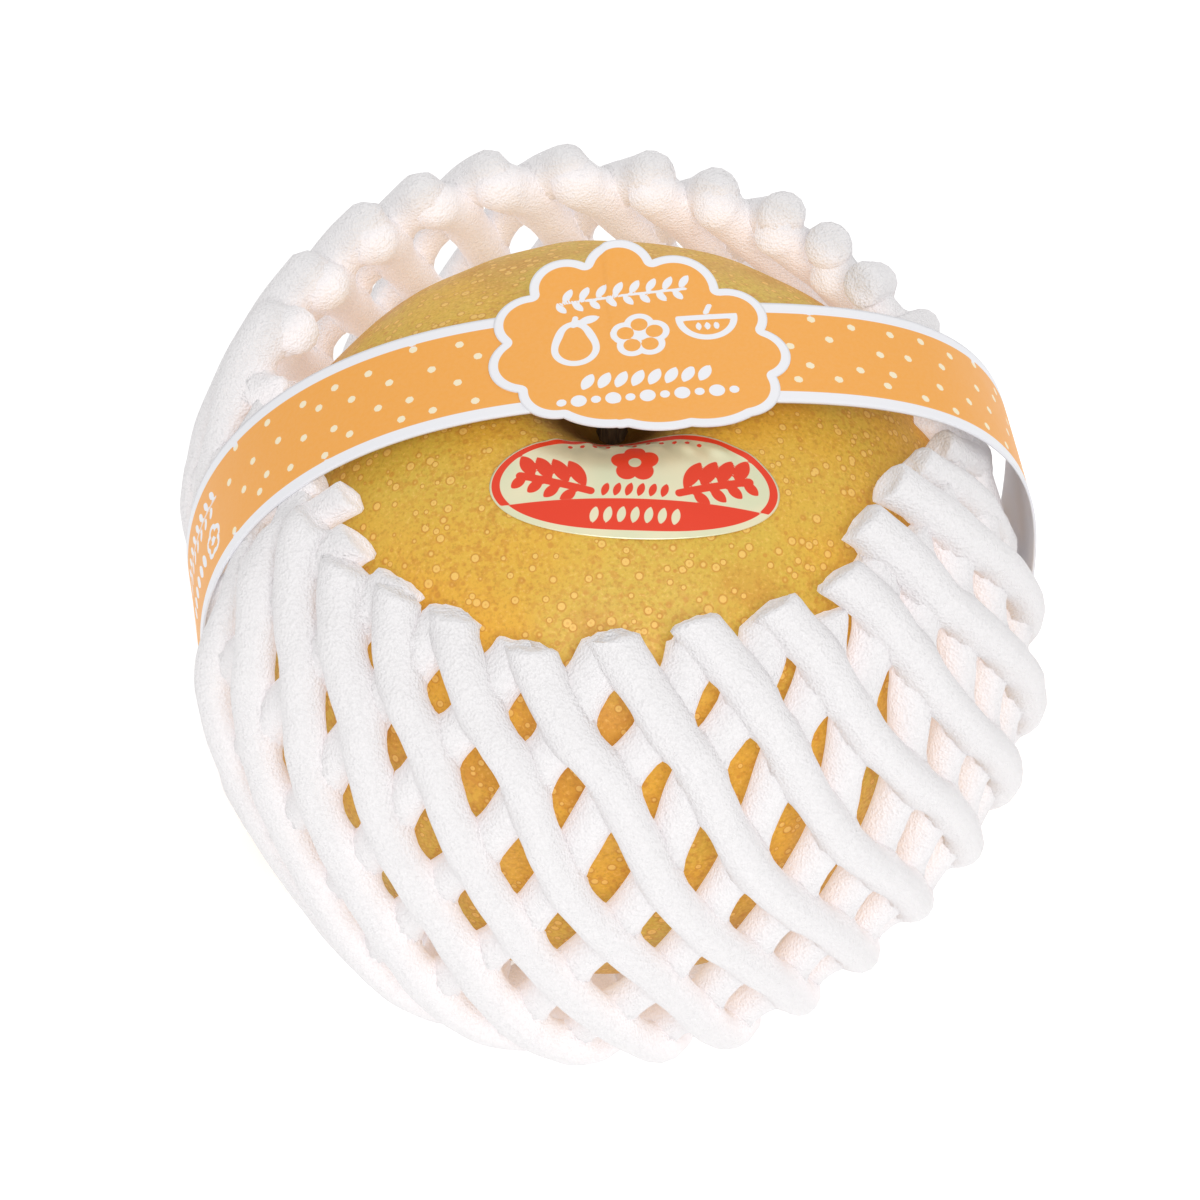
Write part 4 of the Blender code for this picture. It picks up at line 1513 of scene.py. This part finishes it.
@dataclass
class PaperBand:
    """The orange band with its scalloped badge. Millimetres."""

    sheet: BandSheet
    thickness: float = 0.35
    columns: int = 760
    rows: int = 42
    border: float = 1.7
    dot_pitch: float = 5.4
    dot_radius: float = 0.55
    dot_margin: float = 1.5
    dot_stray: float = 0.9
    no_dot: float = 9.0
    cream_from: float = 0.3
    lap_steps: int = 6001
    sprig_place: float = 0.703
    sprig_reach: float = 10.5
    badge_border: float = 1.15
    badge_lift: float = 0.22
    badge_rings: int = 46
    badge_ring_power: float = 0.85
    badge_slant: float = math.radians(3.0)
    curl_from: float = 8.0
    curl_back: float = 0.010
    curl_front: float = 0.012
    arc_steps: int = 24
    badge_centre: Point = (3.3, 2.4)
    notches: tuple[Point, ...] = (
        (19.2, -4.4), (18.8, 3.4), (13.9, 10.4), (6.0, 15.3), (-2.3, 15.5), (-9.2, 11.1),
        (-12.9, 3.5), (-11.5, -5.0), (-6.4, -9.9), (1.1, -11.9), (8.5, -12.3), (15.6, -10.8),
    )
    bulges: tuple[float, ...] = (2.4, 2.7, 2.6, 3.1, 2.7, 2.6, 2.6, 1.6, 0.9, 0.7, 0.8, 1.6)
    seed: int = 5

    def _badge_edge(self) -> Array:
        """Works out the scalloped outline: one round arc from each notch to the next.

        A point of an arc is the chord's, pushed square to it by the height of a circle's arc
        there. The circle's radius comes from the chord and the arc's bulge.

        Returns:
            The outline's points, to the right and to the back.
        """
        notches = np.array(self.notches)
        after = np.roll(notches, -1, axis=0)
        chord = after - notches
        length = np.linalg.norm(chord, axis=1)
        square = np.stack([chord[:, 1], -chord[:, 0]], axis=1) / length[:, None]
        bulge = np.array(self.bulges)
        radius = (length ** 2 / 4 + bulge ** 2) / (2 * bulge)
        half = np.arcsin(np.clip(length / (2 * radius), 0, 1))
        turn = np.linspace(-1.0, 1.0, self.arc_steps, endpoint=False)[None, :] * half[:, None]
        along = 0.5 + np.sin(turn) * (radius / length)[:, None]
        out = (np.cos(turn) - np.cos(half)[:, None]) * radius[:, None]
        edge = notches[:, None, :] + chord[:, None, :] * along[..., None]
        return (edge + square[:, None, :] * out[..., None]).reshape(-1, 2)

    @staticmethod
    def _distance_in(x: Array, y: Array, edge: Array) -> Array:
        """Measures how far points are from the nearest of an outline's short sides.

        Args:
            x: how far right the points are.
            y: how far back they are.
            edge: the outline's points.

        Returns:
            The distances.
        """
        run = np.roll(edge, -1, axis=0) - edge
        away_x = x.reshape(-1, 1) - edge[:, 0]
        away_y = y.reshape(-1, 1) - edge[:, 1]
        share = (away_x * run[:, 0] + away_y * run[:, 1]) / (run ** 2).sum(axis=1)
        share = np.clip(share, 0.0, 1.0)
        gap = np.hypot(away_x - share * run[:, 0], away_y - share * run[:, 1])
        return gap.min(axis=1).reshape(x.shape)

    def _motifs(self, x: Array, y: Array) -> Array:
        """Draws the badge's white ornaments: a sprig, three fruit figures, and rows of beads.

        Args:
            x: how far right the points are.
            y: how far back they are.

        Returns:
            The distances to the nearest ornament, below 0 inside.
        """
        y = y - math.tan(self.badge_slant) * (x - self.badge_centre[0])
        half_fruit = np.maximum(Ink.dot(x, y, (11.9, 5.2), 3.4), y - 5.2)
        parts = [
            Ink.stroke(x, y, (-6.0, 9.6), (9.8, 10.2), 0.4),
            Ink.leaves(x, y, 8, (-4.7, 10.85), (2.05, 0.08), 60, (2.4, 1.05)),
            Ink.leaves(x, y, 8, (-5.6, 8.7), (2.05, 0.08), -55, (2.0, 0.95)),
            Ink.outline(Ink.fruit(x, y, (-4.3, 1.7), 2.5), 0.85),
            Ink.stroke(x, y, (-4.3, 5.6), (-4.0, 6.9), 0.7),
            Ink.leaf(x, y, (-2.4, 6.4), math.radians(15), 2.8, 1.3),
            Ink.outline(Ink.blossom(x, y, (3.6, 2.9), 3.3), 0.8),
            Ink.dot(x, y, (3.6, 2.9), 0.7),
            Ink.outline(half_fruit, 0.85),
            Ink.stroke(x, y, (11.9, 6.0), (12.4, 7.1), 0.7),
            Ink.leaves(x, y, 3, (10.8, 3.7), (1.1, 0.0), 90, (1.4, 0.7)),
            Ink.leaves(x, y, 8, (-3.2, -4.1), (2.0, 0.0), 62, (2.9, 1.45)),
        ]
        for step in range(11):
            radius = 0.95 if step % 2 else 0.6
            parts.append(Ink.dot(x, y, (-6.5 + 2.05 * step, -7.1), radius))
        return np.minimum.reduce(parts)

    def _strip_dots(self, length: float) -> Array:
        """Sets out the strip's dots: a staggered lattice, each dot moved a little by a seeded draw.

        Args:
            length: the loop's whole length.

        Returns:
            The dots' places, along and across the strip.
        """
        draw = np.random.default_rng(self.seed)
        half = self.sheet.width / 2 - self.border - self.dot_margin
        lines = np.array([-half, -half / 3, half / 3, half])
        along = np.arange(0.0, length, self.dot_pitch)
        dots = np.stack(np.meshgrid(along, lines, indexing="ij"), axis=-1)
        dots[:, 1::2, 0] += self.dot_pitch / 2
        return (dots + draw.uniform(-self.dot_stray, self.dot_stray, size=dots.shape)).reshape(-1, 2)

    def _side_sprigs(self, along: Array, across: Array, length: float) -> tuple[Array, Array]:
        """Draws the white sprigs on the strip's left side, where no dots are.

        Args:
            along: distance round the loop from the lap under the base, rightwards.
            across: distance from the strip's middle line.
            length: the loop's whole length.

        Returns:
            The distance to the figures, and the distance to the place that they fill.
        """
        x = along - self.sprig_place * length
        parts = [
            Ink.stroke(x, across, (-8.5, 2.6), (8.5, 2.6), 0.4),
            Ink.outline(Ink.blossom(x, across, (-6.0, -2.6), 2.1), 0.6),
            Ink.leaves(x, across, 8, (-7.2, 3.8), (2.1, 0.0), 55, (2.2, 1.0)),
            Ink.leaves(x, across, 8, (-6.4, 1.5), (2.1, 0.0), -55, (1.9, 0.9)),
            Ink.leaves(x, across, 6, (-2.0, -2.6), (2.0, 0.0), 65, (2.9, 1.3)),
        ]
        return np.minimum.reduce(parts), np.abs(x) - self.sprig_reach

    def _strip(self) -> Surface:
        """Makes the strip: evenly spaced columns round the loop, joined under the base.

        Returns:
            The surface, marked where it is orange and where the white is cream.
        """
        angle = np.linspace(-math.pi / 2, 1.5 * math.pi, self.lap_steps)
        steps = np.linalg.norm(np.diff(self.sheet.middle(angle), axis=0), axis=1)
        run = np.concatenate([[0.0], np.cumsum(steps)])
        along = np.linspace(0.0, run[-1], self.columns, endpoint=False)
        column = np.interp(along, run, angle)
        half = self.sheet.width / 2
        across = np.linspace(-half, half, self.rows + 1)
        angles, places = np.meshgrid(column, across, indexing="ij")
        points = self.sheet.points(angles, places, np.zeros_like(places))
        dots = self._strip_dots(run[-1])
        flat_along = np.repeat(along, len(across))
        flat_across = np.tile(across, self.columns)
        gap = np.full(len(flat_along), self.no_dot)
        for dot_along, dot_across in dots:
            near = np.abs(flat_along - dot_along) < 2.0
            distance = np.hypot(flat_along[near] - dot_along, flat_across[near] - dot_across)
            gap[near] = np.minimum(gap[near], distance - self.dot_radius)
        inside = half - self.border - np.abs(flat_across)
        sprigs, clear = self._side_sprigs(flat_along, flat_across, run[-1])
        gap = np.where(clear > 0, gap, self.no_dot)
        marks = {
            "orange": np.minimum(np.minimum(inside, gap), sprigs),
            "cream": ((inside > self.cream_from) & (clear > 0)).astype(float),
        }
        quads = grid_quads(self.columns + 1, self.rows + 1, ring=False)
        return Surface(points.reshape(-1, 3), quads % (self.columns * (self.rows + 1)), marks=marks)

    def _badge(self) -> Surface:
        """Makes the badge: rings from its middle out to the scalloped edge, laid on the sheet.

        Its back lobes curl up and its front edge lifts by the square of the distance there.

        Returns:
            The surface, marked where it is orange.
        """
        edge = self._badge_edge()
        centre = np.array(self.badge_centre)
        share = np.linspace(0.0, 1.0, self.badge_rings + 1)[1:] ** self.badge_ring_power
        flat = centre + (edge - centre)[None, :, :] * share[:, None, None]
        flat = np.concatenate([centre[None, :], flat.reshape(-1, 2)])
        x, across = flat[:, 0], flat[:, 1]
        top = np.linspace(0.15, math.pi - 0.15, 2001)
        line = self.sheet.middle(top)[:, 0]
        angle = np.interp(-x, -line, top)
        curl = self.curl_back * np.maximum(across - self.curl_from, 0.0) ** 2
        curl = curl + self.curl_front * np.maximum(-self.curl_from - across, 0.0) ** 2
        points = self.sheet.points(angle, across, self.badge_lift + curl)
        inside = self._distance_in(x, across, edge)
        marks = {
            "orange": np.minimum(inside - self.badge_border, self._motifs(x, across)),
            "cream": np.zeros(len(x)),
        }
        rings = points[1:].reshape(self.badge_rings, len(edge), 3)
        return disc_surface(points[0], rings, marks)

    def build(self) -> bpy.types.Object:
        """Makes the band as one paper piece with a printed and a plain side.

        Returns:
            The piece, in its place in the scene.
        """
        finish = PaperFinish()
        surface = self._strip().joined(self._badge())
        piece = surface.build("belly_band", [finish.dress(), finish.dress_back()])
        paper = piece.modifiers.new("paper", "SOLIDIFY")
        paper.thickness = self.thickness * MM
        paper.offset = -1.0
        paper.material_offset = 1
        paper.material_offset_rim = 1
        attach(piece, BODY)
        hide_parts("paper_band")
        return piece


@dataclass
class OvalSticker:
    """The foil label on the skin in front of the cavity. Millimetres, sizes seen from above."""

    fruit: Fruit
    half_length: float = 17.2
    half_width: float = 7.6
    centre: Point = (2.7, -15.4)
    thickness: float = 0.12
    lift: float = 0.16
    rings: int = 64
    spokes: int = 288
    rim: float = 1.0
    ring_inset: float = 0.25
    ring_width: float = 1.0
    red_below: float = -2.7
    crease_depth: float = 0.28

    def _motifs(self, x: Array, y: Array) -> Array:
        """Draws the red figures: a sprig at each side, a blossom, a row of leaves and an arc of dots.

        Args:
            x: how far right of the label's middle the points are.
            y: how far back of it they are.

        Returns:
            The distances to the nearest figure, below 0 inside.
        """
        parts = []
        for side in (-1.0, 1.0):
            parts.append(Ink.stroke(x, y, (side * 5.2, -1.7), (side * 13.6, 0.9), 0.95))
            for step in range(4):
                at = (side * (6.9 + 1.95 * step), -1.2 + 0.6 * step)
                up = (at[0] - side * 0.1, at[1] + 2.0 - 0.15 * step)
                low = (at[0] + side * 1.0, at[1] - 1.0 + 0.15 * step)
                parts.append(Ink.leaf(x, y, up, math.pi / 2 - side * 0.5, 4.3 - 0.35 * step, 1.75))
                parts.append(Ink.leaf(x, y, low, math.pi / 2 + side * 0.9, 2.5 - 0.1 * step, 1.35))
        blossom = Ink.blossom(x, y, (0.0, 2.4), 2.9)
        parts.append(np.maximum(blossom, -Ink.dot(x, y, (0.0, 2.4), 0.75)))
        parts.append(Ink.leaves(x, y, 6, (-3.5, -1.5), (1.4, 0.0), 70, (1.9, 0.9)))
        for step in range(11):
            turn = math.radians(60 + 6 * step)
            at = (15.3 * math.cos(turn), 5.9 * math.sin(turn))
            parts.append(Ink.dot(x, y, at, 0.30))
        return np.minimum.reduce(parts)

    def _red(self, x: Array, y: Array) -> Array:
        """Works out where the label is red: its ring, its lower part and the figures.

        Args:
            x: how far right of the label's middle the points are.
            y: how far back of it they are.

        Returns:
            The distances from the red's edge, above 0 where it is red.
        """
        out = np.hypot(x / self.half_length, y / self.half_width)
        scale = np.hypot(x, y) / (out + 1e-6)
        edge = (1.0 - out) * scale
        ring = np.minimum(edge - self.ring_inset, self.ring_inset + self.ring_width - edge)
        leaves = Ink.leaves(x, y, 7, (-4.8, -4.7), (1.6, 0.0), 75, (2.1, 1.0))
        lower = np.minimum(np.minimum(self.red_below - y, edge - self.rim), leaves)
        upper = np.minimum(y - self.red_below, np.maximum(ring, -self._motifs(x, y)))
        return np.maximum(upper, lower)

    @staticmethod
    def _wrinkles(x: Array, y: Array) -> Array:
        """How much the label is creased over the cavity's lip: two bell-shaped ridges, puckered.

        Args:
            x: how far right of the label's middle the points are.
            y: how far back of it they are.

        Returns:
            The height of the creases, as a share of the crease depth.
        """
        long_crease = bell((y - 5.6 + 0.10 * x) / 0.9)
        short_crease = 0.7 * bell((x + 7.2 - 0.3 * y) / 0.8)
        pucker = 0.5 + 0.5 * np.sin(1.7 * x + 0.8 * y)
        return (long_crease + short_crease) * smooth_step((y + 1.0) / 6.0) * pucker

    def build(self) -> bpy.types.Object:
        """Makes the label: rings out to an oval, lying on the skin, with creases.

        Returns:
            The piece, in its place in the scene.
        """
        turn = np.linspace(0.0, FULL_TURN, self.spokes, endpoint=False)
        share = np.linspace(0.0, 1.0, self.rings + 1)[1:]
        x = self.half_length * share[:, None] * np.cos(turn)
        y = self.half_width * share[:, None] * np.sin(turn)
        x = np.concatenate([[0.0], x.ravel()])
        y = np.concatenate([[0.0], y.ravel()])
        place_x, place_y = x + self.centre[0], y + self.centre[1]
        height = self.fruit.skin_height(place_x, place_y) + self.lift + self.thickness
        height = height + self.crease_depth * self._wrinkles(x, y)
        points = np.stack([place_x, place_y, height], axis=-1)
        rings = points[1:].reshape(self.rings, self.spokes, 3)
        surface = disc_surface(points[0], rings, {"red": self._red(x, y)})
        piece = surface.build("foil_label", [FoilFinish().dress()])
        foil = piece.modifiers.new("foil", "SOLIDIFY")
        foil.thickness = self.thickness * MM
        foil.offset = -1.0
        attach(piece, BODY)
        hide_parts("oval_sticker")
        return piece


@dataclass(frozen=True)
class Lamp:
    """A square soft light that faces the fruit. Metres and watts."""

    name: str
    place: tuple[float, float, float]
    size: float
    power: float

    def hang(self) -> None:
        """Adds the light to the scene."""
        data = bpy.data.lights.new(self.name, "AREA")
        data.size = self.size
        data.energy = self.power
        lamp = bpy.data.objects.new(self.name, data)
        bpy.context.scene.collection.objects.link(lamp)
        lamp.location = self.place
        aim = Vector((0.0, 0.0, PEAR_CENTRE_Z * MM)) - Vector(self.place)
        lamp.rotation_euler = aim.to_track_quat("-Z", "Y").to_euler()


@dataclass
class Studio:
    """Camera, floor and soft lights. Metres and watts."""

    distance: float = 0.45
    elevation: float = math.radians(50)
    lens: float = 103.95
    shift: Point = (-0.010, 0.0042)
    clip: Point = (0.01, 20.0)
    floor_half: float = 3.0
    floor_glow: float = 0.34
    world: float = 0.66
    lamps: tuple[Lamp, ...] = (
        Lamp("key", (0.10, -0.68, 0.84), 0.4, 4.35),
        Lamp("back", (0.1, 0.9, 0.5), 0.6, 1.2),
    )

    def camera(self) -> None:
        """Sets the camera on the photograph's viewing line, with its picture shifted as there."""
        data = bpy.data.cameras.new("camera")
        data.lens = self.lens
        data.shift_x, data.shift_y = self.shift
        data.clip_start, data.clip_end = self.clip
        camera = bpy.data.objects.new("camera", data)
        bpy.context.scene.collection.objects.link(camera)
        back = Vector((0.0, -math.cos(self.elevation), math.sin(self.elevation)))
        camera.location = Vector((0.0, 0.0, PEAR_CENTRE_Z * MM)) + back * self.distance
        camera.rotation_euler = (-back).to_track_quat("-Z", "Y").to_euler()
        bpy.context.scene.camera = camera

    def floor(self) -> None:
        """Lays the pale floor."""
        half = self.floor_half
        mesh = bpy.data.meshes.new("floor")
        corners = [(-half, -half, 0.0), (half, -half, 0.0), (half, half, 0.0), (-half, half, 0.0)]
        mesh.from_pydata(corners, [], [(0, 1, 2, 3)])
        nodes = Nodes("floor")
        finish = {
            "Base Color": (0.92, 0.92, 0.92),
            "Roughness": 0.9,
            "Emission Color": (1.0, 1.0, 1.0),
            "Emission Strength": self.floor_glow,
        }
        mesh.materials.append(nodes.finish(finish))
        floor = bpy.data.objects.new("floor", mesh)
        bpy.context.scene.collection.objects.link(floor)

    def build(self) -> None:
        """Makes the whole studio, with a plain white surround."""
        self.camera()
        self.floor()
        for lamp in self.lamps:
            lamp.hang()
        world = bpy.data.worlds.new("surround")
        world.use_nodes = True
        background = world.node_tree.nodes["Background"]
        background.inputs["Color"].default_value = (1.0, 1.0, 1.0, 1.0)
        background.inputs["Strength"].default_value = self.world
        bpy.context.scene.world = world
        bpy.context.scene.view_settings.view_transform = "Standard"


def main() -> None:
    """Builds the studio and every piece, in order."""
    logging.basicConfig(level=logging.INFO, format="%(message)s")
    Studio().build()
    fruit = Fruit()
    sheet = BandSheet()
    pieces = [
        fruit.build(),
        fruit.build_stem(),
        FoamNet(sheet).build(),
        PaperBand(sheet).build(),
        OvalSticker(fruit).build(),
    ]
    for piece in pieces:
        LOG.info("%s: %d faces", piece.name, len(piece.data.polygons))


if __name__ == "__main__":
    main()
